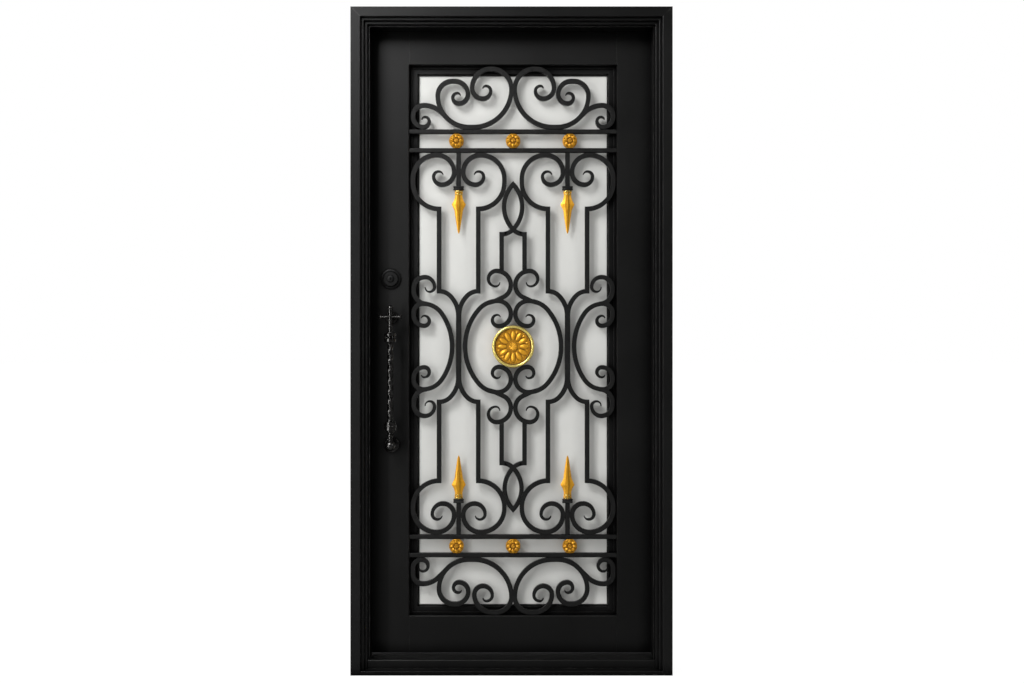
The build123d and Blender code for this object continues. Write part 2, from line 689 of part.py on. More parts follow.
def lens(tip_level, way, lens_size, foot_level):
    """A pointed lens whose bars cross, turn out to two shoulders and run on as uprights."""
    drop, length, half_width = lens_size
    half_length = length / 2
    radius = (half_length**2 + half_width**2) / (2 * half_width)
    half_angle = degrees(asin(half_length / radius))
    tip = tip_level - way * drop
    shoulder_radius = LENS_SHOULDER / cos(radians(half_angle))
    crossing = tip - way * length
    shoulder = crossing - way * shoulder_radius * (1 - sin(radians(half_angle)))
    heading = -way * (QUARTER + half_angle)
    start = (-STROKE * cos(radians(heading)), tip - STROKE * sin(radians(heading)))
    bends = ((STROKE, 0), (radius, way * 2 * half_angle), (shoulder_radius, way * (QUARTER - half_angle)))
    with BuildSketch() as half:
        add(forged_bar(start, heading, bends, (STROKE, STROKE, STROKE, STROKE)))
        middle = tip - way * half_length
        beyond = sorted((middle, way * FRAME_HEIGHT))
        add(block((0, beyond[0]), (FRAME_WIDTH, beyond[1])), mode=Mode.SUBTRACT)
        ends = sorted((shoulder + way * STROKE / 2, foot_level))
        add(block((LENS_SHOULDER - STROKE / 2, ends[0]), (LENS_SHOULDER + STROKE / 2, ends[1])))
    return both_sides(half.sketch)


neighbours = (vase_left, vase_right, heart_left, heart_right)
HEART_TOP = 2 * HEART_TAIL[0] + HEART_OUTER[0]
lens_upper = less(lens(B_LOW, 1, UPPER_LENS, HEART_TOP), *neighbours)
lens_lower = less(lens(C_HIGH, -1, LOWER_LENS, -HEART_TOP), *neighbours)


def side_half():
    """Upper half of the scroll at the left edge of the opening."""
    bend, angle, shoulder = SIDE_BEND
    with BuildSketch() as half:
        lead = ((bend, angle), (shoulder, QUARTER - angle), (SIDE_CURL[0], QUARTER), (SIDE_FLAT, 0))
        add(scroll((-SIDE_REACH, 0), QUARTER, 1, SIDE_CURL[1:], lead=lead))
        left_edge = -VASE_OFFSET - VASE_HALF_WIDTH - STROKE - SIDE_OUTER[0] - SIDE_OUTER[1]
        start = (left_edge, SIDE_HEAD)
        add(scroll(start, QUARTER, -1, SIDE_OUTER, last=SIDE_TIP_TURN))
        crown = bend * sin(radians(angle)) + shoulder * (1 - sin(radians(angle)))
        drop = SIDE_HEAD - crown - SIDE_FOOT
        add(forged_bar(start, -QUARTER, ((drop, 0), (SIDE_FOOT, QUARTER)), (STROKE, STROKE, STROKE)))
        mirror(about=Plane.XZ)
    return half.sketch


side_left = less(side_half(), vase_left)
side_right = mirror(side_left, about=Plane.YZ)


def double_scroll(level, way, foot, right, right_flats, left, left_flats, tail, tail_curl):
    """A C scroll with both ends wound in, standing on a cross bar, and a side scroll that springs from it."""
    base = level + way * STROKE / 2
    with BuildSketch() as drawing:
        ends = ((0, way, right, right_flats), (2 * QUARTER, -way, left, left_flats))
        for heading, turn, radii, flats in ends:
            quarter = turn * QUARTER
            lead = ((flats[0], 0), (radii[0], quarter), (radii[1], quarter), (flats[1], 0))
            add(scroll((-foot, base), heading, turn, radii[2:], lead=lead))
        run, sweep = tail
        bend = left[0]
        lean = radians(MITRE)
        start = (-foot - left_flats[0] - bend * sin(lean), base + way * bend * (1 - cos(lean)))
        crown = abs(start[1] - level) + run * sin(lean) + sweep * (1 - cos(lean))
        flat = crown - tail_curl[0] - tail_curl[1] - STROKE / 2
        lead = ((run, 0), (sweep, way * MITRE), (tail_curl[0], way * QUARTER), (flat, 0))
        add(scroll(start, 2 * QUARTER - way * MITRE, way, tail_curl[1:], lead=lead))
        add(block((0, -FRAME_HEIGHT), (FRAME_WIDTH, FRAME_HEIGHT)), mode=Mode.SUBTRACT)
    return drawing.sketch


top_left = double_scroll(
    A_HIGH,
    1,
    TOP_FOOT,
    TOP_RIGHT,
    TOP_RIGHT_FLATS,
    TOP_LEFT,
    TOP_LEFT_FLATS,
    TOP_TAIL,
    TOP_TAIL_CURL,
)
bottom_left = double_scroll(
    D_LOW,
    -1,
    BOTTOM_FOOT,
    BOTTOM_RIGHT,
    BOTTOM_RIGHT_FLATS,
    BOTTOM_LEFT,
    BOTTOM_LEFT_FLATS,
    BOTTOM_TAIL,
    BOTTOM_TAIL_CURL,
)
top_left = less(top_left, bars)
bottom_left = less(bottom_left, bars)

grille_piece(vase_left, "vase_bar_left")
grille_piece(vase_right, "vase_bar_right")
grille_piece(heart_left, "centre_scroll_left")
grille_piece(heart_right, "centre_scroll_right")
grille_piece(lens_upper, "lens_upper")
grille_piece(lens_lower, "lens_lower")
grille_piece(side_left, "side_scroll_left")
grille_piece(side_right, "side_scroll_right")
grille_piece(top_left, "top_scroll_left")
grille_piece(mirror(top_left, about=Plane.YZ), "top_scroll_right")
grille_piece(bottom_left, "bottom_scroll_left")
grille_piece(mirror(bottom_left, about=Plane.YZ), "bottom_scroll_right")


# Spear posts with their collars, and the cast spear points
def post_with_collar(root, way, length):
    """A short post on a cross bar that ends in a tapered collar."""
    collar_width, collar_depth, collar_height = COLLAR_SIZE
    post_end = root - way * (length - collar_height)
    collar_end = root - way * length
    with BuildPart() as post:
        for side in (-1, 1):
            x = OPENING_CENTRE + side * VASE_OFFSET * GRILLE_SCALE
            with Locations((x, GRILLE_MIDDLE, (root + post_end) / 2)):
                Box(BAR, BAR, abs(root - post_end))
            for level, share in ((post_end, 1), (collar_end, COLLAR_TAPER)):
                with BuildSketch(Plane.XY.offset(level)):
                    with Locations((x, GRILLE_MIDDLE)):
                        Rectangle(collar_width * share, collar_depth * share)
            loft()
    return post.part


def spears(root, way):
    """Two cast spear points, diamond in section, that hang or stand on their collars."""
    with BuildPart() as points:
        for side in (-1, 1):
            x = OPENING_CENTRE + side * VASE_OFFSET * GRILLE_SCALE
            for share, half_width, half_depth in SPEAR_STATIONS:
                level = root - way * share * SPEAR_LENGTH
                with BuildSketch(Plane.XY.offset(level)):
                    with BuildLine():
                        Polyline(
                            (x - half_width, GRILLE_MIDDLE),
                            (x, GRILLE_MIDDLE - half_depth),
                            (x + half_width, GRILLE_MIDDLE),
                            (x, GRILLE_MIDDLE + half_depth),
                            close=True,
                        )
                    make_face()
            loft(ruled=True)
    return points.part


UPPER_ROOT = BAR_B - BAR / 2
LOWER_ROOT = BAR_C + BAR / 2
save(post_with_collar(UPPER_ROOT, 1, UPPER_POST_LENGTH), "spear_posts_upper")
save(post_with_collar(LOWER_ROOT, -1, LOWER_POST_LENGTH), "spear_posts_lower")
save(spears(UPPER_ROOT - UPPER_POST_LENGTH, 1), "spears_upper")
save(spears(LOWER_ROOT + LOWER_POST_LENGTH, -1), "spears_lower")


# Rosettes between each pair of cross bars
def rosettes(level, gap):
    """Three domed flowers that fill the gap between two cross bars."""
    with BuildPart() as row:
        for number in (-1, 0, 1):
            x = OPENING_CENTRE + number * ROSETTE_PITCH * GRILLE_SCALE
            with BuildSketch(Plane(origin=(x, GRILLE_BACK, level), x_dir=(1, 0, 0), z_dir=(0, -1, 0))):
                Circle(ROSETTE_RADIUS)
                Rectangle(2 * ROSETTE_RADIUS, gap, mode=Mode.INTERSECT)
            extrude(amount=BAR)
            for step in range(ROSETTE_PETALS):
                angle = radians(step * 4 * QUARTER / ROSETTE_PETALS)
                with Locations((x + PETAL_RING * cos(angle), GRILLE_FRONT, level + PETAL_RING * sin(angle))):
                    Sphere(PETAL_RADIUS)
            with Locations((x, GRILLE_FRONT, level)):
                Sphere(ROSETTE_BOSS)
    return row.part


save(rosettes((BAR_A + BAR_B) / 2, UPPER_BAR_PITCH - BAR), "rosettes_upper")
save(rosettes((BAR_C + BAR_D) / 2, LOWER_BAR_PITCH - BAR), "rosettes_lower")

# Medallion: a dished disc with a rounded rim and a ring of leaves round a boss
MEDALLION_CENTRE = (OPENING_CENTRE, GRILLE_MIDDLE, GRILLE_CENTRE)
with BuildPart() as medallion:
    with BuildSketch(Plane(origin=MEDALLION_CENTRE, x_dir=(1, 0, 0), z_dir=(0, 0, 1))):
        with BuildLine():
            front = -MEDALLION_DEPTH + BAR / 2
            dish = front + MEDALLION_DISH
            edge = MEDALLION_RADIUS * GRILLE_SCALE
            face = edge - MEDALLION_RIM
            Polyline((0, dish), (0, BAR / 2), (edge, BAR / 2), (edge, dish))
            ThreePointArc((edge, dish), ((edge + face) / 2, front), (face, dish))
            Line((face, dish), (0, dish))
        make_face()
    revolve(axis=Axis(MEDALLION_CENTRE, (0, 1, 0)))
    leaf_centre = (OPENING_CENTRE, GRILLE_MIDDLE + dish, GRILLE_CENTRE)
    leaf_plane = Plane(origin=leaf_centre, x_dir=(1, 0, 0), z_dir=(0, -1, 0))
    with BuildSketch(leaf_plane):
        with PolarLocations(face - LEAF_INSET, MEDALLION_LEAVES):
            Ellipse(LEAF_SIZE[0], LEAF_SIZE[1])
    extrude(amount=LEAF_SIZE[2])
    with BuildSketch(leaf_plane):
        Circle(MEDALLION_BOSS)
    extrude(amount=MEDALLION_BOSS_HEIGHT, taper=BOSS_TAPER)
save(medallion.part, "medallion")

# Handle: rests on a rose at each end, with a sword hilt above, a twisted grip and a round foot
HANDLE_Y = LEAF_FRONT - HANDLE_STANDOFF


def standoff(level, rose_radius):
    """Rose on the leaf and the round arm that carries the handle at one level."""
    with BuildPart() as arm:
        with BuildSketch(facing(LEAF_FRONT)):
            with Locations((HANDLE_X, level)):
                Circle(rose_radius)
        extrude(amount=ROSE_THICKNESS)
        fillet(arm.faces().sort_by(Axis.Y)[0].edges(), ROSE_ROUND)
        with BuildSketch(facing(LEAF_FRONT)):
            with Locations((HANDLE_X, level)):
                Circle(STANDOFF_RADIUS)
        extrude(amount=HANDLE_STANDOFF)
    return arm.part


with BuildPart() as handle_top:
    add(standoff(HANDLE_TOP, SMALL_ROSE_RADIUS))
    with BuildSketch(Plane.XY.offset(GRIP_TOP)):
        with Locations((HANDLE_X, HANDLE_Y)):
            Circle(STEM_RADIUS)
    extrude(amount=HANDLE_TOP - GRIP_TOP + CROSS_ARM)
    with BuildSketch(Plane.YZ.offset(HANDLE_X - CROSS_ARM)):
        with Locations((HANDLE_Y, HANDLE_TOP)):
            Circle(ARM_RADIUS)
    extrude(amount=2 * CROSS_ARM)
    for side in (-1, 1):
        with Locations((HANDLE_X + side * CROSS_ARM, HANDLE_Y, HANDLE_TOP)):
            Sphere(ARM_KNOB)
    with Locations((HANDLE_X, HANDLE_Y, HANDLE_TOP + CROSS_ARM)):
        Sphere(FINIAL_RADIUS)
    with Locations((HANDLE_X, HANDLE_Y, GRIP_TOP + KNUCKLE_HEIGHT / 2)):
        Cylinder(KNUCKLE_WAIST, KNUCKLE_HEIGHT)
    for level in (GRIP_TOP + KNUCKLE_RING / 2, GRIP_TOP + KNUCKLE_HEIGHT - KNUCKLE_RING / 2):
        with Locations((HANDLE_X, HANDLE_Y, level)):
            Cylinder(KNUCKLE_RADIUS, KNUCKLE_RING)
save(handle_top.part, "handle_hilt")

with BuildPart() as handle_grip:
    with BuildSketch(Plane.XY.offset(GRIP_BOTTOM)) as grip_section:
        with Locations((HANDLE_X, HANDLE_Y)):
            RectangleRounded(GRIP_SIZE, GRIP_SIZE, GRIP_CORNER)
    add(
        Solid.extrude_linear_with_rotation(
            grip_section.sketch.faces()[0],
            center=(HANDLE_X, HANDLE_Y, GRIP_BOTTOM),
            normal=(0, 0, GRIP_TOP - GRIP_BOTTOM),
            angle=GRIP_TURNS * 4 * QUARTER,
        )
    )
save(handle_grip.part, "handle_grip")

with BuildPart() as handle_foot:
    add(standoff(HANDLE_BOTTOM, ROSE_RADIUS))
    with BuildSketch(Plane.XY.offset(HANDLE_BOTTOM)):
        with Locations((HANDLE_X, HANDLE_Y)):
            Circle(STEM_RADIUS)
    extrude(amount=GRIP_BOTTOM - HANDLE_BOTTOM)
    with Locations((HANDLE_X, HANDLE_Y, HANDLE_BOTTOM)):
        Sphere(FOOT_BALL)
    with Locations((HANDLE_X, HANDLE_Y, GRIP_BOTTOM - KNUCKLE_HEIGHT / 2)):
        Cylinder(KNUCKLE_RADIUS, KNUCKLE_HEIGHT)
save(handle_foot.part, "handle_foot")

# Deadbolt outside, thumb turn and plain pull inside
with BuildPart() as deadbolt:
    for radius, height in zip(DEADBOLT_RADII, DEADBOLT_STEPS):
        with BuildSketch(facing(LEAF_FRONT)):
            with Locations((HANDLE_X, DEADBOLT_Z)):
                Circle(radius)
        extrude(amount=height)
    with BuildSketch(facing(LEAF_FRONT - DEADBOLT_STEPS[-1])):
        with Locations((HANDLE_X, DEADBOLT_Z)):
            Rectangle(KEYWAY[0], KEYWAY[1])
    extrude(amount=-KEYWAY[2], mode=Mode.SUBTRACT)
save(deadbolt.part, "deadbolt_cylinder")

with BuildPart() as thumb_turn:
    with BuildSketch(facing(BACK)):
        with Locations((HANDLE_X, DEADBOLT_Z)):
            Circle(DEADBOLT_RADII[0])
    extrude(amount=-ROSE_THICKNESS)
    with BuildSketch(facing(BACK)):
        with Locations((HANDLE_X, DEADBOLT_Z)):
            RectangleRounded(TURN_SIZE[0], TURN_SIZE[1], TURN_ROUND)
    extrude(amount=-ROSE_THICKNESS - TURN_SIZE[2])
save(thumb_turn.part, "thumb_turn")

with BuildPart() as inside_pull:
    for level in (HANDLE_TOP, HANDLE_BOTTOM):
        with BuildSketch(facing(BACK)):
            with Locations((HANDLE_X, level)):
                Circle(SMALL_ROSE_RADIUS)
        extrude(amount=-ROSE_THICKNESS)
        with BuildSketch(facing(BACK)):
            with Locations((HANDLE_X, level)):
                Circle(INSIDE_POST_RADIUS)
        extrude(amount=-HANDLE_STANDOFF)
    with BuildSketch(Plane.XY.offset(HANDLE_BOTTOM - CROSS_ARM)):
        with Locations((HANDLE_X, BACK + HANDLE_STANDOFF)):
            Circle(INSIDE_PULL_RADIUS)
    extrude(amount=HANDLE_TOP - HANDLE_BOTTOM + 2 * CROSS_ARM)
save(inside_pull.part, "inside_pull")

# Barrel hinges on the inside face: two knuckles on the jamb, one on the leaf, and a capped pin
PIN_X = (LEAF_RIGHT + HALF_FRAME - REBATE_REACH) / 2
PIN_Y = BACK + HINGE_RADIUS
KNUCKLE_PITCH = HINGE_KNUCKLE + HINGE_END_GAP


def knuckle(x_edge, level):
    """One knuckle round the pin with its plate on the inside face."""
    low, high = sorted((x_edge, PIN_X))
    with BuildPart() as barrel:
        with BuildSketch(Plane.XY.offset(level - HINGE_KNUCKLE / 2)):
            with Locations((PIN_X, PIN_Y)):
                Circle(HINGE_RADIUS)
            with Locations(((low + high) / 2, BACK + HINGE_PLATE / 2)):
                Rectangle(high - low, HINGE_PLATE)
            with Locations((PIN_X, PIN_Y)):
                Circle(HINGE_PIN + HINGE_FIT, mode=Mode.SUBTRACT)
        extrude(amount=HINGE_KNUCKLE)
    return barrel.part


with BuildPart() as jamb_hinges:
    for level in HINGE_HEIGHTS:
        for side in (-1, 1):
            add(knuckle(PIN_X + HINGE_PLATE_WIDTH, level + side * KNUCKLE_PITCH))
        with Locations((PIN_X + (HINGE_NOTCH + HINGE_PLATE_WIDTH) / 2, BACK + HINGE_PLATE / 2, level)):
            Box(HINGE_PLATE_WIDTH - HINGE_NOTCH, HINGE_PLATE, 2 * KNUCKLE_PITCH - HINGE_KNUCKLE)
save(jamb_hinges.part, "hinge_leaves_jamb")

with BuildPart() as door_hinges:
    for level in HINGE_HEIGHTS:
        add(knuckle(PIN_X - HINGE_PLATE_WIDTH, level))
save(door_hinges.part, "hinge_leaves_door")

with BuildPart() as hinge_pins:
    for level in HINGE_HEIGHTS:
        barrel_half = KNUCKLE_PITCH + HINGE_KNUCKLE / 2
        with Locations((PIN_X, PIN_Y, level)):
            Cylinder(HINGE_PIN, 2 * barrel_half)
        for side in (-1, 1):
            with Locations((PIN_X, PIN_Y, level + side * (barrel_half + HINGE_CAP / 2))):
                Cylinder(HINGE_RADIUS, HINGE_CAP)
save(hinge_pins.part, "hinge_pins")
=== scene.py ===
import json
from math import acos, atan2, cos, pi, radians, sin

import bpy
from mathutils import Matrix, Vector


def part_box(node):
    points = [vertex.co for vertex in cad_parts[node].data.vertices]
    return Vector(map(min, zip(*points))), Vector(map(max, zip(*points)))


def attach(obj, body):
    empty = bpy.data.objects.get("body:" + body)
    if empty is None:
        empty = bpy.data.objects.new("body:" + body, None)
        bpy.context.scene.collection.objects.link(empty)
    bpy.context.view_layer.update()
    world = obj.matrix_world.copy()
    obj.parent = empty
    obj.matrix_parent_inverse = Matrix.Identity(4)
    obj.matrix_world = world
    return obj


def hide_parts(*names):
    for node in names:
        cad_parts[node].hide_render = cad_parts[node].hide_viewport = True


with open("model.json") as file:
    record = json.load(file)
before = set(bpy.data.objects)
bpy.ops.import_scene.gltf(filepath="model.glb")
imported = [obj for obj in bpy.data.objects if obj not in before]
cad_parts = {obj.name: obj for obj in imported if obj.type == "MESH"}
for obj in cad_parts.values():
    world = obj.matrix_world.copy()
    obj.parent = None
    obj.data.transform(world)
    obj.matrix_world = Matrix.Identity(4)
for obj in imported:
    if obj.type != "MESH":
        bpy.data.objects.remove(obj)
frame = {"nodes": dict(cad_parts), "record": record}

bl_info = {
    "name": "Wrought Iron Entry Door",
    "version": (1, 0, 0),
    "blender": (4, 5, 0),
    "location": "3D View > Sidebar > Iron Door",
    "description": "Dresses a wrought iron entry door with cast ornaments, fixings, seals and finishes",
    "category": "Add Mesh",
}

FULL_TURN = 2 * pi
ACROSS_Y = Matrix.Rotation(pi / 2, 4, "X")
FACING_IN = Matrix.Rotation(pi, 4, "Z")

# Places read from the door, in metres as all sizes here
MEDALLION_LOW, MEDALLION_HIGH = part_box("medallion")
MEDALLION_CENTRE = (Vector(MEDALLION_LOW) + Vector(MEDALLION_HIGH)) / 2
OPENING_CENTRE = MEDALLION_CENTRE.x
BAR_FRONT, BAR_BACK = (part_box("vase_bar_left")[end][1] for end in (0, 1))
GRILLE_MIDDLE = (BAR_FRONT + BAR_BACK) / 2
BACK_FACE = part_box("lock_stile")[1][1]
GRIP_LOW, GRIP_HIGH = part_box("handle_grip")
GRIP_CENTRE = (Vector(GRIP_LOW) + Vector(GRIP_HIGH)) / 2

# How far the arrises of each kind of piece are rounded
GRILLE_ROUND = 0.0018
ROUNDS = {"grille_iron": GRILLE_ROUND, "gilt_casting": 0.0006, "leaf_steel": 0.0007, "frame_steel": 0.0008}

# Shade in the iron's recesses and the gold's hollows: how far it reaches, and its colour in the iron
RECESS_SHADE_REACH = 0.05
RECESS_SHADE_COLOUR = (0.0004, 0.0004, 0.0004, 1)
HOLLOW_SHADE_REACH = 0.009

# Medallion
FIELD_DEPTH = 0.004
MEDALLION_FIELD = MEDALLION_LOW[1] + FIELD_DEPTH
LEAF_TOP = MEDALLION_FIELD - 0.0022
LEAF_RING = 0.0355
LEAF_COUNT = 12
TONGUE_RING = 0.0465
BOSS_TOP = MEDALLION_FIELD - 0.0032
BOSS_RING = 0.0076
RIM_RADIUS = 0.0625
RIM_TUBE = 0.0046
RIM_FRONT = MEDALLION_LOW[1] + 0.0024
GROOVE_RADIUS = 0.0571
GROOVE_TUBE = 0.0011
GROOVE_FRONT = MEDALLION_FIELD - 0.0006

# Rosettes
ROSETTE_PITCH = 0.181
PETAL_COUNT = 8
RIB_RING = 0.0158
RIB_FRONT = BAR_FRONT - 0.0069
SEED_COUNT = 6
SEED_RING = 0.0046
SEED_FRONT = BAR_FRONT - 0.0086
MIDDLE_SEED_FRONT = BAR_FRONT - 0.0094
ROLL_RADIUS = 0.0206
ROLL_TUBE = 0.0019
ROLL_FRONT = BAR_FRONT + 0.0004

# Spear points: levels up from the root, with half the width and half the depth there
SPEAR_PROFILE = (
    (0.0, 0.0136, 0.0090),
    (0.0200, 0.0116, 0.0080),
    (0.0340, 0.0156, 0.0095),
    (0.0455, 0.0228, 0.0115),
    (0.0570, 0.0170, 0.0105),
    (0.0650, 0.0135, 0.0096),
    (0.0930, 0.0096, 0.0075),
    (0.1330, 0.0034, 0.0030),
    (0.1390, 0.0004, 0.0004),
)
SPEAR_LENGTH = SPEAR_PROFILE[-1][0]
SPEAR_HALF_WIDTH = SPEAR_PROFILE[3][1]
FLUTE_DEPTH = 0.46
FLUTE_SHAPE = 1.1
SOCKET_RINGS = ((0.0035, 1.0), (0.0125, 0.86))
SOCKET_RING_RADIUS = 0.0122
SOCKET_RING_TUBE = 0.0013
SOCKET_FLATNESS = 0.68
COLLAR_HEIGHT = 0.0125
COLLAR_HALF = 0.0172
COLLAR_FLATNESS = 0.62

# Centre scrolls, across and up from the medallion's middle: a weld's square tip and where it is drawn to
WELD_TIP = (0.07738, 0.12854)
WELD_DRAWN = (0.0735, 0.13375)
WELD_NEAR = 0.0008

# Deadbolt: the rose's face is stepped by insets and rises, from its rim to the key plug
ROSE_RADIUS = 0.032
ROSE_PLATE = 0.0045
ROSE_SHIFT = (-0.003, 0.0015)
ROSE_STEPS = (
    (0.0022, 0.0022),
    (0.0045, 0.0004),
    (0.0008, -0.0012),
    (0.0008, 0.0052),
    (0.0014, 0.0014),
    (0.0105, 0.0004),
    (0.0006, -0.0008),
    (0.0006, 0.0022),
    (0.0008, 0.0006),
)
KEYWAY = (0.0022, 0.0088, 0.012)
KEYWAY_LEVEL = 0.015

# Handle
GRIP_HALF = 0.0084
GRIP_SOFTNESS = 3.4
GRIP_TWIST = -2 * FULL_TURN / (GRIP_HIGH[2] - GRIP_LOW[2])
CROSS_LEVEL = GRIP_HIGH[2] + 0.077
ARM_REACH = 0.029
HEAD_REACH = 0.027
LEAF_FAN = (-48, 0, 48)
LEAF_STAND = 0.0052
KNUCKLE_RADIUS = 0.0165
KNUCKLE_REACH = 0.0125
KNUCKLE_BEADS = 12
KNUCKLE_BEAD = 0.0036
RING_TUBE = 0.0026
# Levels of the turned rings from either end of the grip, with each ring's share of the knuckle's radius
HILT_RINGS = ((0.0008, 1.0), (0.0275, 0.62), (0.048, 0.5))
FOOT_RINGS = ((0.0012, 1.0), (0.0275, 0.8), (0.042, 0.6))

# Fixings
HINGE_LEVELS = (0.25, 1.045, 1.84)
HINGE_PLATE = 0.003
JAMB_SCREWS = (0.023, (-0.04, 0, 0.04))
LEAF_SCREWS = (-0.022, (-0.012, 0.012))
SASH_SCREW_INSET = 0.035
SASH_SCREW_SPREAD = (0.014, 0.022)
PLATE_SCREW_INSET = 0.011

# Glazing seals
SEAL_LIP = 0.0035
SEAL_THICKNESS = 0.0022
SEAL_ROUND = 0.0006
INNER_SEAL_INSET = 0.003

# Lamps: place, spot they point at, size and share of the key light's power
LAMPS = {
    "key": ((-1.7, -2.4, 3.5), (-0.2, 0, 1.3), (1.5, 1.5), 1.0),
    "rim": ((2.6, -2.2, 2.6), (0.2, 0, 1.0), (0.5, 2.2), 0.1),
    "strip": ((-2.3, -2.5, 1.1), (-0.38, 0, 0.95), (0.35, 2.0), 0.26),
    "back": ((-1.5, 3.6, 2.8), (0, 0, 1.0), (2.0, 2.0), 0.5),
}
FLOOR_RADIUS = 60
FLOOR_GLOW = 1.06
FLOOR_GLOW_SHARE = 0.9


# Modelling helpers
def begin(name, primitive, **place):
    """Adds a primitive with nothing else selected and names it."""
    bpy.ops.object.select_all(action="DESELECT")
    primitive(**place)
    piece = bpy.context.active_object
    piece.name = name
    piece.data.name = name
    return piece


def choose(piece, wanted):
    """Selects only the faces that a test picks, by centre and normal."""
    bpy.ops.object.mode_set(mode="OBJECT")
    for vertex in piece.data.vertices:
        vertex.select = False
    for edge in piece.data.edges:
        edge.select = False
    for face in piece.data.polygons:
        face.select = wanted(face)
    bpy.ops.object.mode_set(mode="EDIT")


def apply_all(piece):
    """Applies a piece's modifiers in order and moves its place into its mesh."""
    bpy.ops.object.mode_set(mode="OBJECT")
    bpy.ops.object.select_all(action="DESELECT")
    piece.select_set(True)
    bpy.context.view_layer.objects.active = piece
    for modifier in list(piece.modifiers):
        bpy.ops.object.modifier_apply(modifier=modifier.name)
    bpy.ops.object.transform_apply(location=True, rotation=True, scale=True)


def join(name, pieces):
    """Joins finished shapes into one piece with its place in its mesh."""
    bpy.ops.object.select_all(action="DESELECT")
    for piece in pieces:
        piece.select_set(True)
    bpy.context.view_layer.objects.active = pieces[0]
    bpy.ops.object.join()
    whole = bpy.context.active_object
    whole.name = name
    whole.data.name = name
    bpy.ops.object.transform_apply(location=True, rotation=True, scale=True)
    bpy.ops.object.mode_set(mode="EDIT")
    bpy.ops.mesh.select_all(action="SELECT")
    bpy.ops.mesh.normals_make_consistent(inside=False)
    bpy.ops.object.mode_set(mode="OBJECT")
    return whole


def repeat(name, model, places):
    """Joins copies of a finished shape, one for each placing, each with a mesh of its own."""
    copies = []
    for place in places:
        twin = model.copy()
        twin.data = model.data.copy()
        bpy.context.collection.objects.link(twin)
        twin.matrix_world = place
        copies.append(twin)
    bpy.data.objects.remove(model)
    bpy.context.view_layer.update()
    return join(name, copies)


def around(centre, radius, count, front, spin=0.0):
    """Placings round a centre that face the viewer, with their X pointing outwards."""
    places = []
    for step in range(count):
        angle = spin + FULL_TURN * step / count
        spot = Vector((centre.x + radius * cos(angle), front, centre.z + radius * sin(angle)))
        places.append(Matrix.Translation(spot) @ Matrix.Rotation(-angle, 4, "Y"))
    return places


def hand_over(piece, body, finish):
    """Shades a finished piece, gives it its material and fixes it to its body."""
    bpy.ops.object.select_all(action="DESELECT")
    piece.select_set(True)
    bpy.context.view_layer.objects.active = piece
    bpy.ops.object.shade_smooth_by_angle(angle=radians(40))
    piece.data.materials.clear()
    piece.data.materials.append(bpy.data.materials[finish])
    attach(piece, body)


def round_off(piece, width):
    """Rounds a piece's arrises without changing its mesh."""
    weld = piece.modifiers.new("weld", "WELD")
    weld.merge_threshold = 0.00001
    arris = piece.modifiers.new("arris", "BEVEL")
    arris.width = width
    arris.segments = 2
    arris.limit_method = "ANGLE"
    arris.angle_limit = radians(38)
    arris.use_clamp_overlap = True
    even = piece.modifiers.new("even", "WEIGHTED_NORMAL")
    even.keep_sharp = True


# Shapes that repeat
def ring(name, radius, tube, turns, sides):
    """A torus in the ground plane."""
    return begin(
        name,
        bpy.ops.mesh.primitive_torus_add,
        major_radius=radius,
        minor_radius=tube,
        major_segments=turns,
        minor_segments=sides,
    )


def petal(name, length, width, height, rib):
    """A pointed leaf lying in the front plane: a flattened ball drawn to a point, with a raised rib."""
    leaf = begin(name, bpy.ops.mesh.primitive_uv_sphere_add, segments=24, ring_count=14, radius=1)
    for vertex in leaf.data.vertices:
        vertex.co = Matrix.Rotation(pi / 2, 3, "Y") @ vertex.co
    bpy.ops.object.mode_set(mode="EDIT")
    bpy.ops.mesh.select_all(action="SELECT")
    bpy.ops.transform.resize(value=(length, height, width))
    bpy.ops.object.mode_set(mode="OBJECT")
    for vertex in leaf.data.vertices:
        along = vertex.co.x / length
        vertex.co.z *= 1 - 0.45 * max(along, 0) ** 2
        crest = max(0, 1 - abs(vertex.co.z) / (0.3 * width))
        if vertex.co.y < 0:
            vertex.co.y -= rib * crest * (1 - along**2)
    return leaf


def drawn_out(name, length, levels, segments, outline):
    """A closed bar on the origin, its section given by an outline of level and angle."""
    bar = begin(name, bpy.ops.mesh.primitive_uv_sphere_add, segments=segments, ring_count=levels, radius=1)
    for vertex in bar.data.vertices:
        share = acos(max(-1, min(1, -vertex.co.z))) / pi
        level = max(0, min(1, (share - 1 / levels) / (1 - 2 / levels))) * length
        across, deep = outline(level, atan2(vertex.co.y, vertex.co.x))
        if abs(vertex.co.z) > 0.99999:
            across, deep = 0, 0
        vertex.co = (across, deep, level)
    return bar


def spear_section(level, angle):
    """Four ridges that swell at the barbs and run out at the tip."""
    for under, over in zip(SPEAR_PROFILE, SPEAR_PROFILE[1:]):
        if under[0] <= level <= over[0] + 0.000001:
            rise = (level - under[0]) / (over[0] - under[0])
            width = under[1] + (over[1] - under[1]) * rise
            depth = under[2] + (over[2] - under[2]) * rise
            break
    flute = 1 - FLUTE_DEPTH * abs(sin(2 * angle)) ** FLUTE_SHAPE
    return width * flute * cos(angle), depth * flute * sin(angle)


def square_section(half, angle, turn=0.0):
    """A square with soft corners, turned by an angle."""
    softened = abs(cos(angle)) ** GRIP_SOFTNESS + abs(sin(angle)) ** GRIP_SOFTNESS
    reach = half / softened ** (1 / GRIP_SOFTNESS)
    return reach * cos(angle + turn), reach * sin(angle + turn)


def grip_section(level, angle):
    """The square grip bar, twisted by equal steps along its length."""
    return square_section(GRIP_HALF, angle, GRIP_TWIST * level)


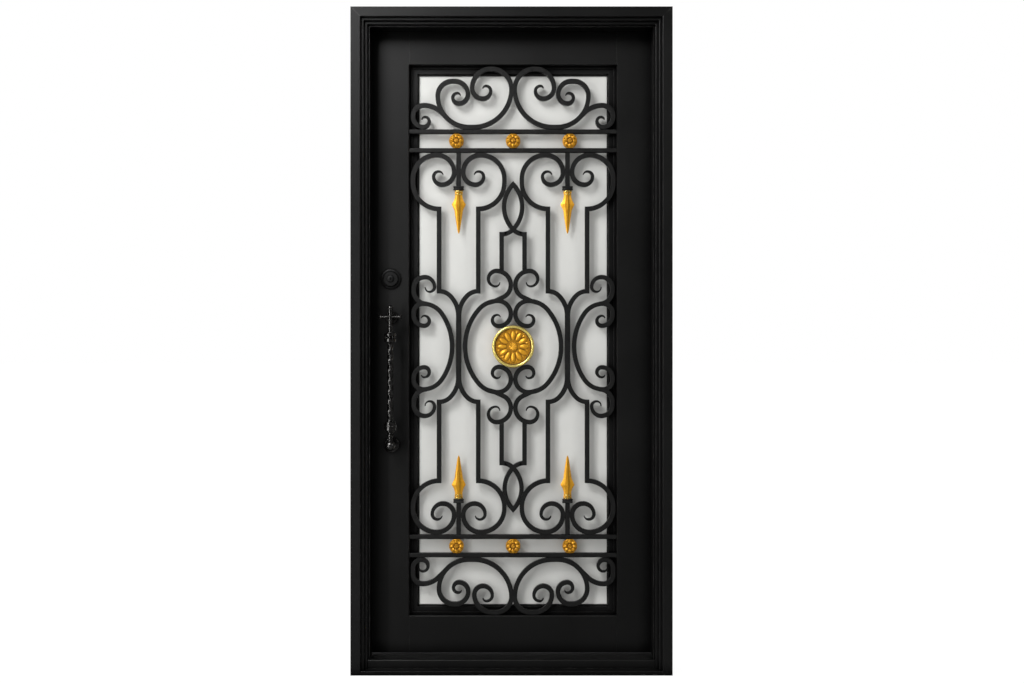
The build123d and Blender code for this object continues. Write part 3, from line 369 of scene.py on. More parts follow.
def collar_section(level, angle):
    """A square collar with a groove round its middle and softened ends."""
    middle = abs(2 * level / COLLAR_HEIGHT - 1)
    swell = 0.9 + 0.1 * min(1, 3 * middle) - 0.12 * max(0, middle - 0.8) / 0.2
    across, deep = square_section(COLLAR_HALF * swell, angle)
    return across, deep * COLLAR_FLATNESS


def bead(name, radius, height):
    """A small domed bead."""
    ball = begin(name, bpy.ops.mesh.primitive_uv_sphere_add, segments=14, ring_count=8, radius=radius)
    bpy.ops.object.mode_set(mode="EDIT")
    bpy.ops.mesh.select_all(action="SELECT")
    bpy.ops.transform.resize(value=(1, height / radius, 1))
    bpy.ops.object.mode_set(mode="OBJECT")
    return ball


def screw(name, radius, height):
    """A round headed screw with a six sided socket, its head towards -Y."""
    head = begin(name, bpy.ops.mesh.primitive_cylinder_add, vertices=32, radius=radius, depth=height)
    bpy.ops.object.mode_set(mode="EDIT")
    choose(head, lambda face: face.normal.z > 0.9)
    bpy.ops.mesh.inset(thickness=radius * 0.3)
    bpy.ops.transform.translate(value=(0, 0, height * 0.35))
    bpy.ops.object.mode_set(mode="OBJECT")
    soften = head.modifiers.new("soften", "BEVEL")
    soften.width = height * 0.12
    soften.segments = 2
    soften.limit_method = "ANGLE"
    socket = begin(
        f"{name}_socket",
        bpy.ops.mesh.primitive_cylinder_add,
        vertices=6,
        radius=radius * 0.42,
        depth=height,
        location=(0, 0, height * 0.85),
    )
    cut = head.modifiers.new("socket", "BOOLEAN")
    cut.operation = "DIFFERENCE"
    cut.object = socket
    bpy.context.view_layer.update()
    apply_all(head)
    bpy.data.objects.remove(socket)
    head.data.transform(ACROSS_Y)
    return head


def turned(name, radius, height, steps):
    """A turned disc with its face towards +Z, stepped by insets and rises."""
    disc = begin(
        name,
        bpy.ops.mesh.primitive_cylinder_add,
        vertices=72,
        radius=radius,
        depth=height,
        location=(0, 0, height / 2),
    )
    bpy.ops.object.mode_set(mode="EDIT")
    choose(disc, lambda face: face.normal.z > 0.9)
    for inset, rise in steps:
        bpy.ops.mesh.inset(thickness=inset)
        bpy.ops.transform.translate(value=(0, 0, rise))
    bpy.ops.object.mode_set(mode="OBJECT")
    return disc


# Effects that several finishes share
def new_group(name, inputs, outputs):
    """An empty shader node group with its named inputs and outputs."""
    group = bpy.data.node_groups.new(name, "ShaderNodeTree")
    for label, kind, value in inputs:
        socket = group.interface.new_socket(name=label, in_out="INPUT", socket_type=kind)
        socket.default_value = value
    for label, kind in outputs:
        group.interface.new_socket(name=label, in_out="OUTPUT", socket_type=kind)
    return group, group.nodes.new("NodeGroupInput"), group.nodes.new("NodeGroupOutput")


def math_node(tree, operation, first, second=None, clamp=False):
    """A Math node fed by sockets or plain numbers."""
    node = tree.nodes.new("ShaderNodeMath")
    node.operation = operation
    node.use_clamp = clamp
    for socket, value in zip(node.inputs, (first, second)):
        if value is None:
            continue
        if isinstance(value, (int, float)):
            socket.default_value = value
        else:
            tree.links.new(value, socket)
    return node.outputs[0]


def spread(tree, value, low, high, to_low=0.0, to_high=1.0):
    """A Map Range node that turns one span of values into another."""
    node = tree.nodes.new("ShaderNodeMapRange")
    for label, number in (("From Min", low), ("From Max", high), ("To Min", to_low), ("To Max", to_high)):
        node.inputs[label].default_value = number
    tree.links.new(value, node.inputs["Value"])
    return node.outputs["Result"]


def blend_colours(tree, share, first, second):
    """A colour Mix node between two sockets or two plain colours."""
    node = tree.nodes.new("ShaderNodeMix")
    node.data_type = "RGBA"
    tree.links.new(share, node.inputs["Factor"])
    for label, value in (("A", first), ("B", second)):
        socket = [item for item in node.inputs if item.name == label and item.type == "RGBA"][0]
        if isinstance(value, tuple):
            socket.default_value = value
        else:
            tree.links.new(value, socket)
    return [item for item in node.outputs if item.type == "RGBA"][0]


def noise(tree, scale, detail, coordinates):
    """A noise pattern on the piece's own coordinates."""
    node = tree.nodes.new("ShaderNodeTexNoise")
    node.inputs["Scale"].default_value = scale
    node.inputs["Detail"].default_value = detail
    tree.links.new(coordinates, node.inputs["Vector"])
    return node.outputs["Fac"]


def arris_mask_group():
    """Mask of the arrises, broken up by noise: rubbed by hands and weather on most coats, painted shade
    along the bars' edges on the grille.
    """
    group, given, result = new_group(
        "arris_mask",
        (("Reach", "NodeSocketFloat", 0.001), ("Amount", "NodeSocketFloat", 0.5)),
        (("Mask", "NodeSocketFloat"),),
    )
    position = group.nodes.new("ShaderNodeTexCoord").outputs["Object"]
    round_edge = group.nodes.new("ShaderNodeBevel")
    round_edge.samples = 4
    group.links.new(given.outputs["Reach"], round_edge.inputs["Radius"])
    surface = group.nodes.new("ShaderNodeNewGeometry").outputs["Normal"]
    compare = group.nodes.new("ShaderNodeVectorMath")
    compare.operation = "DOT_PRODUCT"
    group.links.new(round_edge.outputs["Normal"], compare.inputs[0])
    group.links.new(surface, compare.inputs[1])
    arris = spread(group, compare.outputs["Value"], 0.995, 0.85)
    patches = spread(group, noise(group, 60, 4, position), 0.4, 0.6)
    edge_marked = math_node(group, "MULTIPLY", arris, patches, clamp=True)
    amount = math_node(group, "MULTIPLY", edge_marked, given.outputs["Amount"], clamp=True)
    group.links.new(amount, result.inputs["Mask"])
    return group


def surface_group(name, scales, details, depth):
    """Two scales of unevenness: a tone mask, a roughness mask and a bumped normal."""
    group, given, result = new_group(
        name,
        (("Strength", "NodeSocketFloat", 0.5),),
        (("Tone", "NodeSocketFloat"), ("Gloss", "NodeSocketFloat"), ("Normal", "NodeSocketVector")),
    )
    position = group.nodes.new("ShaderNodeTexCoord").outputs["Object"]
    broad, grain = (noise(group, scale, detail, position) for scale, detail in zip(scales, details))
    broad_part = math_node(group, "MULTIPLY", broad, 0.6)
    grain_part = math_node(group, "MULTIPLY", grain, 0.4)
    both = math_node(group, "ADD", broad_part, grain_part)
    bump = group.nodes.new("ShaderNodeBump")
    bump.inputs["Distance"].default_value = depth
    group.links.new(given.outputs["Strength"], bump.inputs["Strength"])
    group.links.new(both, bump.inputs["Height"])
    group.links.new(spread(group, broad, 0.3, 0.7), result.inputs["Tone"])
    group.links.new(spread(group, both, 0.35, 0.65), result.inputs["Gloss"])
    group.links.new(bump.outputs["Normal"], result.inputs["Normal"])
    return group


def start_material(name):
    """A new material that uses nodes, with its Principled shader."""
    material = bpy.data.materials.new(name)
    material.use_nodes = True
    tree = material.node_tree
    shader = tree.nodes["Principled BSDF"]
    return material, tree, shader


def use_group(tree, group, **values):
    """Places a shared effect in a material with its own values."""
    node = tree.nodes.new("ShaderNodeGroup")
    node.node_tree = group
    for label, value in values.items():
        node.inputs[label].default_value = value
    return node


def coated_iron(name, wear_and_edge_shade, texture, colours, roughness, bump, edge_mark_amount, shine=0.3, reach=0.0012, metal=0.0):
    """Black coated iron: uneven tone and sheen, arrises rubbed towards bare metal (on the grille, painted
    shade along the arrises instead), and painted shade darkening the recesses and their reflection.
    """
    material, tree, shader = start_material(name)
    uneven = use_group(tree, texture, Strength=bump)
    arris = use_group(tree, wear_and_edge_shade, Reach=reach, Amount=edge_mark_amount)
    dark, light, bare = colours
    tone = blend_colours(tree, uneven.outputs["Tone"], dark, light)
    # Arrises take the third colour: rubbed metal on most coats, painted edge shade on the grille
    edge_marked = blend_colours(tree, arris.outputs["Mask"], tone, bare)
    # Painted shade: ambient occlusion darkens the recesses towards a near-black colour
    recess_shade = tree.nodes.new("ShaderNodeAmbientOcclusion")
    recess_shade.samples = 6
    recess_shade.inputs["Distance"].default_value = RECESS_SHADE_REACH
    unshaded = spread(tree, recess_shade.outputs["AO"], 0.45, 0.92)
    tree.links.new(blend_colours(tree, unshaded, RECESS_SHADE_COLOUR, edge_marked), shader.inputs["Base Color"])
    low, high = roughness
    tree.links.new(spread(tree, uneven.outputs["Gloss"], 0, 1, low, high), shader.inputs["Roughness"])
    tree.links.new(uneven.outputs["Normal"], shader.inputs["Normal"])
    # Painted shade in the reflection: the recesses reflect less
    tree.links.new(spread(tree, unshaded, 0, 1, 0.25 * shine, shine), shader.inputs["Specular IOR Level"])
    shader.inputs["Metallic"].default_value = metal
    return material


def antique_gold(name, texture, colours, roughness, bump, lustre):
    """Gilt casting: gold with painted shade in its hollows and a soft uneven sheen."""
    material, tree, shader = start_material(name)
    uneven = use_group(tree, texture, Strength=bump)
    # Painted shade: ambient occlusion darkens the hollows towards the third, browner colour
    hollow_shade = tree.nodes.new("ShaderNodeAmbientOcclusion")
    hollow_shade.samples = 6
    hollow_shade.inputs["Distance"].default_value = HOLLOW_SHADE_REACH
    depth = spread(tree, hollow_shade.outputs["AO"], 0.5, 1.0)
    light, mid, dark = colours
    tone = blend_colours(tree, uneven.outputs["Tone"], mid, light)
    tree.links.new(blend_colours(tree, depth, dark, tone), shader.inputs["Base Color"])
    low, high = roughness
    tree.links.new(spread(tree, uneven.outputs["Gloss"], 0, 1, low, high), shader.inputs["Roughness"])
    tree.links.new(uneven.outputs["Normal"], shader.inputs["Normal"])
    shader.inputs["Metallic"].default_value = lustre
    return material


def frosted(name, tint, shade, roughness):
    """Acid frosted glass: pale, faintly clouded, and letting soft light through."""
    material, tree, shader = start_material(name)
    position = tree.nodes.new("ShaderNodeTexCoord").outputs["Object"]
    clouds = spread(tree, noise(tree, 9, 3, position), 0.3, 0.7)
    tree.links.new(blend_colours(tree, clouds, tint, shade), shader.inputs["Base Color"])
    grain = noise(tree, 900, 2, position)
    tree.links.new(spread(tree, grain, 0.3, 0.7, *roughness), shader.inputs["Roughness"])
    bump = tree.nodes.new("ShaderNodeBump")
    bump.inputs["Strength"].default_value = 0.15
    bump.inputs["Distance"].default_value = 0.0002
    tree.links.new(grain, bump.inputs["Height"])
    tree.links.new(bump.outputs["Normal"], shader.inputs["Normal"])
    shader.inputs["Transmission Weight"].default_value = 0.25
    shader.inputs["IOR"].default_value = 1.5
    return material


def brushed_steel(name, colours, roughness):
    """Brushed steel with fine upright lines."""
    material, tree, shader = start_material(name)
    position = tree.nodes.new("ShaderNodeTexCoord").outputs["Object"]
    stretch = tree.nodes.new("ShaderNodeMapping")
    stretch.inputs["Scale"].default_value = (1, 1, 0.03)
    tree.links.new(position, stretch.inputs["Vector"])
    lines = noise(tree, 1400, 3, stretch.outputs["Vector"])
    light, dark = colours
    brushed = blend_colours(tree, spread(tree, lines, 0.3, 0.7), dark, light)
    tree.links.new(brushed, shader.inputs["Base Color"])
    tree.links.new(spread(tree, lines, 0.3, 0.7, *roughness), shader.inputs["Roughness"])
    shader.inputs["Metallic"].default_value = 1
    return material


def rubber(name, dark, light):
    """Matt seal rubber with a dusty bloom."""
    material, tree, shader = start_material(name)
    position = tree.nodes.new("ShaderNodeTexCoord").outputs["Object"]
    bloom = spread(tree, noise(tree, 40, 5, position), 0.4, 0.75)
    tree.links.new(blend_colours(tree, bloom, dark, light), shader.inputs["Base Color"])
    tree.links.new(spread(tree, bloom, 0, 1, 0.65, 0.85), shader.inputs["Roughness"])
    shader.inputs["Specular IOR Level"].default_value = 0.25
    return material


# Sizes and colours that a user would change
def colour_setting(name, description, default):
    """A colour among the settings."""
    return bpy.props.FloatVectorProperty(
        name=name, description=description, default=default, size=3, min=0, max=1, subtype="COLOR"
    )


def length_setting(name, description, default):
    """A length among the settings, in metres."""
    return bpy.props.FloatProperty(name=name, description=description, default=default, unit="LENGTH")


class DoorFinish(bpy.types.PropertyGroup):
    """Colours and sheen of the finishes."""

    coat: colour_setting("Coat", "Colour of the black powder coat", (0.0021, 0.0021, 0.002))
    coat_roughness: bpy.props.FloatProperty(
        name="Coat Roughness",
        description="How dull the powder coat is",
        default=0.40,
        min=0,
        max=1,
        subtype="FACTOR",
    )
    gold: colour_setting("Gold", "Colour of the gilt castings in the light", (0.84, 0.43, 0.028))
    glass: colour_setting("Glass", "Colour of the frosted glass", (0.62, 0.62, 0.597))


class DoorOrnament(bpy.types.PropertyGroup):
    """Sizes of the cast ornaments."""

    bead_count: bpy.props.IntProperty(
        name="Beads",
        description="Number of beads round the medallion",
        default=44,
        min=12,
        max=80,
    )
    bead_radius: length_setting("Bead Radius", "Radius of each bead round the medallion", 0.0023)
    bead_ring: length_setting("Bead Ring", "Radius of the circle that the beads stand on", 0.0543)
    leaf_length: length_setting("Leaf Length", "Half the length of a leaf on the medallion", 0.0138)
    screw_radius: length_setting("Screw Radius", "Radius of a screw head on the fittings", 0.0038)


class DoorStudio(bpy.types.PropertyGroup):
    """Place of the camera and strength of the light."""

    camera: bpy.props.FloatVectorProperty(
        name="Camera",
        description="Place of the camera in front of the door",
        default=(0.0015, -4.076, 1.040),
        size=3,
        subtype="TRANSLATION",
        unit="LENGTH",
    )
    lens: bpy.props.FloatProperty(
        name="Lens",
        description="Focal length of the camera in millimetres",
        default=45.18,
        min=10,
    )
    key_power: bpy.props.FloatProperty(
        name="Key Light",
        description="Power of the soft light from the upper left",
        default=122,
        min=0,
        unit="POWER",
    )
    fill: bpy.props.FloatProperty(
        name="Fill",
        description="Strength of the even light from all round",
        default=0.64,
        min=0,
    )


class DOOR_OT_finishes(bpy.types.Operator):
    """Make the finishes and coat the pieces of the door with them"""

    bl_idname = "door.finishes"
    bl_label = "Finishes"

    def execute(self, context):
        finish = context.scene.door_finish
        wear_and_edge_shade = arris_mask_group()
        powder = surface_group("powder_coat", scales=(3.5, 700), details=(4, 2), depth=0.00012)
        forged = surface_group("forged_skin", scales=(70, 420), details=(5, 3), depth=0.0005)
        cast = surface_group("cast_skin", scales=(160, 600), details=(4, 3), depth=0.0006)
        coat = Vector(finish.coat)
        sheen = finish.coat_roughness

        def shade(colour, share):
            return (*(Vector(colour) * share), 1)

        gold = Vector(finish.gold)
        aged_gold = (gold.x * 0.82, gold.y * 0.72, gold.z * 0.6, 1)
        coated_iron(
            "frame_coat",
            wear_and_edge_shade,
            powder,
            colours=(shade(coat, 1.1), shade(coat, 1.7), (0.16, 0.157, 0.15, 1)),
            roughness=(sheen - 0.06, sheen + 0.06),
            bump=0.2,
            edge_mark_amount=0.8,
        )
        coated_iron(
            "leaf_coat",
            wear_and_edge_shade,
            powder,
            colours=(shade(coat, 0.8), shade(coat, 1.25), (0.1, 0.098, 0.094, 1)),
            roughness=(sheen - 0.02, sheen + 0.1),
            bump=0.2,
            edge_mark_amount=0.5,
        )
        # Near-black arris colour on the grille: painted shade along the bar edges
        coated_iron(
            "grille_coat",
            wear_and_edge_shade,
            forged,
            colours=(shade(coat, 1.8), shade(coat, 3.0), (0.002, 0.002, 0.0018, 1)),
            roughness=(sheen - 0.06, sheen + 0.14),
            bump=0.35,
            edge_mark_amount=0.9,
            reach=0.003,
        )
        coated_iron(
            "handle_coat",
            wear_and_edge_shade,
            forged,
            colours=((0.05, 0.049, 0.048, 1), (0.1, 0.098, 0.095, 1), (0.4, 0.39, 0.38, 1)),
            roughness=(sheen - 0.18, sheen - 0.1),
            bump=0.05,
            edge_mark_amount=0.7,
            shine=0.5,
            reach=0.0015,
            metal=1.0,
        )
        coated_iron(
            "lock_coat",
            wear_and_edge_shade,
            powder,
            colours=(shade(coat, 0.5), shade(coat, 0.9), (0.03, 0.03, 0.029, 1)),
            roughness=(sheen + 0.05, sheen + 0.15),
            bump=0.2,
            edge_mark_amount=0.3,
            shine=0.25,
        )
        # The third colour of each gilt finish is its painted shade in the hollows
        antique_gold(
            "gilt",
            cast,
            colours=(shade(gold, 1), aged_gold, (0.16, 0.06, 0.008, 1)),
            roughness=(0.28, 0.45),
            bump=0.4,
            lustre=0.6,
        )
        antique_gold(
            "polished_gilt",
            cast,
            colours=((1, 0.84, 0.26, 1), (0.97, 0.76, 0.2, 1), (0.2, 0.09, 0.01, 1)),
            roughness=(0.18, 0.26),
            bump=0.02,
            lustre=0.75,
        )
        # Dark gilt for the thin ring round the medallion field's edge
        antique_gold(
            "dark_patina",
            cast,
            colours=((0.14, 0.07, 0.015, 1), (0.1, 0.045, 0.01, 1), (0.04, 0.02, 0.005, 1)),
            roughness=(0.4, 0.6),
            bump=0.3,
            lustre=0.5,
        )
        frosted("frosted_light", shade(finish.glass, 1), shade(finish.glass, 0.94), (0.42, 0.58))
        brushed_steel("steel_plate", ((0.52, 0.51, 0.5, 1), (0.36, 0.355, 0.35, 1)), (0.28, 0.45))
        rubber("seal_skin", (0.012, 0.012, 0.012, 1), (0.045, 0.044, 0.042, 1))
        coats = {
            "frame_steel": "frame_coat",
            "leaf_steel": "leaf_coat",
            "grille_iron": "grille_coat",
            "handle_iron": "handle_coat",
            "gilt_casting": "gilt",
            "frosted_glass": "frosted_light",
            "seal_rubber": "seal_skin",
            "bare_steel": "steel_plate",
        }
        for row in frame["record"]["subparts"]:
            piece = frame["nodes"][row["node"]]
            kind = row["material_slot"]
            for slot in piece.material_slots:
                slot.material = bpy.data.materials[coats[kind]]
            if kind in ROUNDS and not row["node"].startswith(("rosettes", "hinge")):
                round_off(piece, ROUNDS[kind])
        return {"FINISHED"}


class DOOR_OT_medallion(bpy.types.Operator):
    """Model the leaves, beads and rosette in relief on the medallion"""

    bl_idname = "door.medallion"
    bl_label = "Medallion Relief"

    def execute(self, context):
        sizes = context.scene.door_ornament
        centre = MEDALLION_CENTRE
        length = sizes.leaf_length
        leaf = petal("medallion_leaf", length, width=length * 0.47, height=0.0021, rib=0.0008)
        leaves = repeat("medallion_leaves", leaf, around(centre, LEAF_RING, LEAF_COUNT, LEAF_TOP))
        hand_over(leaves, "leaf", "gilt")
        half_step = FULL_TURN / LEAF_COUNT / 2
        tongue = petal("medallion_tongue", length=0.0062, width=0.0026, height=0.0016, rib=0.0004)
        places = around(centre, TONGUE_RING, LEAF_COUNT, MEDALLION_FIELD, half_step)
        tongues = repeat("medallion_tongues", tongue, places)
        hand_over(tongues, "leaf", "gilt")
        beads = repeat(
            "medallion_beads",
            bead("medallion_bead", sizes.bead_radius, sizes.bead_radius),
            around(centre, sizes.bead_ring, sizes.bead_count, MEDALLION_FIELD),
        )
        hand_over(beads, "leaf", "gilt")
        inner = petal("boss_petal", length=0.0058, width=0.0034, height=0.0017, rib=0.0005)
        boss = repeat("medallion_rosette", inner, around(centre, BOSS_RING, PETAL_COUNT, BOSS_TOP))
        hand_over(boss, "leaf", "gilt")
        heart_place = [Matrix.Translation((centre.x, BOSS_TOP - 0.0006, centre.z))]
        dome = bead("medallion_heart", radius=0.0036, height=0.0018)
        heart = repeat("medallion_heart", dome, heart_place)
        hand_over(heart, "leaf", "gilt")
        # The groove ring in dark gilt draws a dark line round the field's edge
        for name, radius, tube, front, finish in (
            ("medallion_rim", RIM_RADIUS, RIM_TUBE, RIM_FRONT, "polished_gilt"),
            ("medallion_groove", GROOVE_RADIUS, GROOVE_TUBE, GROOVE_FRONT, "dark_patina"),
        ):
            place = Matrix.Translation((centre.x, front, centre.z)) @ ACROSS_Y
            round_moulding = repeat(name, ring(name, radius, tube, turns=96, sides=14), [place])
            hand_over(round_moulding, "leaf", finish)
        return {"FINISHED"}


class DOOR_OT_rosettes(bpy.types.Operator):
    """Model the ribs, beads and rolled rims of the rosettes"""

    bl_idname = "door.rosettes"
    bl_label = "Rosettes"

    def execute(self, context):
        for row in ("rosettes_upper", "rosettes_lower"):
            low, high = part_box(row)
            level = (low[2] + high[2]) / 2
            ribs, seeds, rims = [], [], []
            for number in (-1, 0, 1):
                centre = Vector((OPENING_CENTRE + number * ROSETTE_PITCH, BAR_FRONT, level))
                ribs += around(centre, RIB_RING, PETAL_COUNT, RIB_FRONT)
                seeds += around(centre, SEED_RING, SEED_COUNT, SEED_FRONT)
                seeds += [Matrix.Translation((centre.x, MIDDLE_SEED_FRONT, centre.z))]
                rims += [Matrix.Translation((centre.x, ROLL_FRONT, centre.z)) @ ACROSS_Y]
            rib = petal("rosette_rib", length=0.0064, width=0.0019, height=0.0016, rib=0.0005)
            hand_over(repeat(f"{row}_ribs", rib, ribs), "leaf", "gilt")
            seed = bead("rosette_seed", radius=0.0021, height=0.0018)
            hand_over(repeat(f"{row}_seeds", seed, seeds), "leaf", "gilt")
            rim = ring("rosette_rim", ROLL_RADIUS, ROLL_TUBE, turns=56, sides=10)
            hand_over(repeat(f"{row}_rims", rim, rims), "leaf", "gilt")
        return {"FINISHED"}


class DOOR_OT_spears(bpy.types.Operator):
    """Model the fluted sockets and ridged blades of the spear points"""

    bl_idname = "door.spears"
    bl_label = "Spear Points"

    def execute(self, context):
        for node, way in (("spears_upper", -1), ("spears_lower", 1)):
            low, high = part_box(node)
            root = high[2] if way < 0 else low[2]
            half_span = (high[0] - low[0]) / 2 - SPEAR_HALF_WIDTH
            places, rings = [], []
            for side in (-1, 1):
                spot = Vector(((low[0] + high[0]) / 2 + side * half_span, GRILLE_MIDDLE, root))
                turn = Matrix.Rotation(0 if way > 0 else pi, 4, "X")
                places.append(Matrix.Translation(spot) @ turn)
                for level, size in SOCKET_RINGS:
                    lift = Matrix.Translation((0, 0, way * level))
                    flattened = Matrix.Diagonal((size, size * SOCKET_FLATNESS, 1, 1))
                    rings.append(Matrix.Translation(spot) @ lift @ flattened)
            point = drawn_out("spear_point", SPEAR_LENGTH, levels=36, segments=32, outline=spear_section)
            spears = repeat(node.replace("spears", "spear_points"), point, places)
            hand_over(spears, "leaf", "gilt")
            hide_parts(node)
            collars = []
            for place in places:
                collars.append(place @ Matrix.Translation((0, 0, -COLLAR_HEIGHT)))
            band = drawn_out("spear_collar", COLLAR_HEIGHT, levels=14, segments=32, outline=collar_section)
            collar = repeat(node.replace("spears", "spear_collars"), band, collars)
            hand_over(collar, "leaf", "grille_coat")
            socket_ring = ring("spear_ring", SOCKET_RING_RADIUS, SOCKET_RING_TUBE, turns=40, sides=8)
            hand_over(repeat(f"{node}_rings", socket_ring, rings), "leaf", "polished_gilt")
        return {"FINISHED"}


class DOOR_OT_centre_scrolls(bpy.types.Operator):
    """Draw the centre scrolls' welds smoothly into the bar they join"""

    bl_idname = "door.centre_scrolls"
    bl_label = "Centre Scrolls"

    def execute(self, context):
        level = MEDALLION_CENTRE.z
        for side in ("left", "right"):
            node = f"centre_scroll_{side}"
            scroll = bpy.data.objects.new(f"forged_scroll_{side}", frame["nodes"][node].data.copy())
            context.collection.objects.link(scroll)
            for vertex in scroll.data.vertices:
                across = vertex.co.x - OPENING_CENTRE
                rise = vertex.co.z - level
                gap = abs(abs(across) - WELD_TIP[0]) + abs(abs(rise) - WELD_TIP[1])
                if gap < WELD_NEAR:
                    vertex.co.x = OPENING_CENTRE + WELD_DRAWN[0] * (1 if across > 0 else -1)
                    vertex.co.z = level + WELD_DRAWN[1] * (1 if rise > 0 else -1)
            round_off(scroll, GRILLE_ROUND)
            hand_over(scroll, "leaf", "grille_coat")
            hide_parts(node)
        return {"FINISHED"}


class DOOR_OT_fixings(bpy.types.Operator):
    """Model the screws of the hinges, lock plates and sash plates"""

    bl_idname = "door.fixings"
    bl_label = "Screws"

    def execute(self, context):
        radius = context.scene.door_ornament.screw_radius
        jamb, leaf, sash = [], [], []
        pin_low, pin_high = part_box("hinge_pins")
        pin_x = (pin_low[0] + pin_high[0]) / 2
        stand = radius * 0.15
        for level in HINGE_LEVELS:
            for (across, rises), places in ((JAMB_SCREWS, jamb), (LEAF_SCREWS, leaf)):
                for rise in rises:
                    spot = (pin_x + across, BACK_FACE + HINGE_PLATE + stand, level + rise)
                    places.append(Matrix.Translation(spot) @ FACING_IN)
        for node in ("sash_hinges", "sash_clips"):
            low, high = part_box(node)
            middle = (low[0] + high[0]) / 2
            for level in (low[2] + SASH_SCREW_INSET, high[2] - SASH_SCREW_INSET):
                for side, way in ((-1, -1), (-1, 1), (1, -1), (1, 1)):
                    across = side * SASH_SCREW_SPREAD[0]
                    rise = way * SASH_SCREW_SPREAD[1]
                    spot = (middle + across, high[1] + stand, level + rise)
                    sash.append(Matrix.Translation(spot) @ FACING_IN)
        for name, places, body, slot, finish in (
            ("jamb_hinge_screws", jamb, "frame", "bare_steel", "steel_plate"),
            ("leaf_hinge_screws", leaf, "leaf", "bare_steel", "steel_plate"),
            ("sash_plate_screws", sash, "leaf", "handle_iron", "handle_coat"),
        ):
            head = screw("round_head_screw", radius, radius * 0.7)
            hand_over(repeat(name, head, places), body, finish)
        for node, body, turn in (("lock_faceplate", "leaf", 1), ("strike_plate", "frame", -1)):
            low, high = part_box(node)
            face = low[0] if turn > 0 else high[0]
            quarter = Matrix.Rotation(-turn * pi / 2, 4, "Z")
            places = []
            for level in (low[2] + PLATE_SCREW_INSET, high[2] - PLATE_SCREW_INSET):
                spot = (face + turn * 0.0002, (low[1] + high[1]) / 2, level)
                places.append(Matrix.Translation(spot) @ quarter)
            screws = repeat(f"{node}_screws", screw("plate_screw", radius * 0.9, radius * 0.25), places)
            hand_over(screws, body, "steel_plate")
        return {"FINISHED"}


class DOOR_OT_glazing_seal(bpy.types.Operator):
    """Model the rubber seals round both faces of the glass"""

    bl_idname = "door.glazing_seal"
    bl_label = "Glazing Seals"

    def execute(self, context):
        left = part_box("sash_left")[1][0]
        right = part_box("sash_right")[0][0]
        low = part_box("sash_bottom")[1][2]
        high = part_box("sash_top")[0][2]
        glass_front, glass_back = (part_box("glass_pane")[end][1] for end in (0, 1))
        for name, face, out in (
            ("glass_seal_outside", glass_front, -1),
            ("glass_seal_inside", glass_back, 1),
        ):
            edge = INNER_SEAL_INSET if out > 0 else 0
            width = right - left - 2 * edge
            height = high - low - 2 * edge
            seal = begin(
                name,
                bpy.ops.mesh.primitive_plane_add,
                size=1,
                location=((left + right) / 2, face + out * SEAL_THICKNESS / 2, (low + high) / 2),
                rotation=(pi / 2, 0, 0),
            )
            seal.scale = (width, height, 1)
            bpy.ops.object.transform_apply(location=True, rotation=True, scale=True)
            bpy.ops.object.mode_set(mode="EDIT")
            bpy.ops.mesh.select_all(action="SELECT")
            bpy.ops.mesh.inset(thickness=SEAL_LIP)
            bpy.ops.mesh.delete(type="FACE")
            bpy.ops.object.mode_set(mode="OBJECT")
            body = seal.modifiers.new("body", "SOLIDIFY")
            body.thickness = SEAL_THICKNESS
            body.offset = 0
            soften = seal.modifiers.new("soften", "BEVEL")
            soften.width = SEAL_ROUND
            soften.segments = 2
            apply_all(seal)
            hand_over(seal, "leaf", "seal_skin")
        return {"FINISHED"}


class DOOR_OT_deadbolt(bpy.types.Operator):
    """Model the stepped rose and the key plug of the deadbolt"""

    bl_idname = "door.deadbolt"
    bl_label = "Deadbolt"

    def execute(self, context):
        low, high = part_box("deadbolt_cylinder")
        across, rise = ROSE_SHIFT
        centre = ((low[0] + high[0]) / 2 + across, high[1], (low[2] + high[2]) / 2 + rise)
        rose = turned("deadbolt_rose", ROSE_RADIUS, ROSE_PLATE, ROSE_STEPS)
        slot = begin("keyway", bpy.ops.mesh.primitive_cube_add, size=1, location=(0, 0, KEYWAY_LEVEL))
        slot.scale = KEYWAY
        cut = rose.modifiers.new("keyway", "BOOLEAN")
        cut.operation = "DIFFERENCE"
        cut.object = slot
        bpy.context.view_layer.update()
        apply_all(rose)
        bpy.data.objects.remove(slot)
        rose = repeat("deadbolt_rose", rose, [Matrix.Translation(centre) @ ACROSS_Y])
        hand_over(rose, "leaf", "lock_coat")
        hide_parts("deadbolt_cylinder")
        return {"FINISHED"}


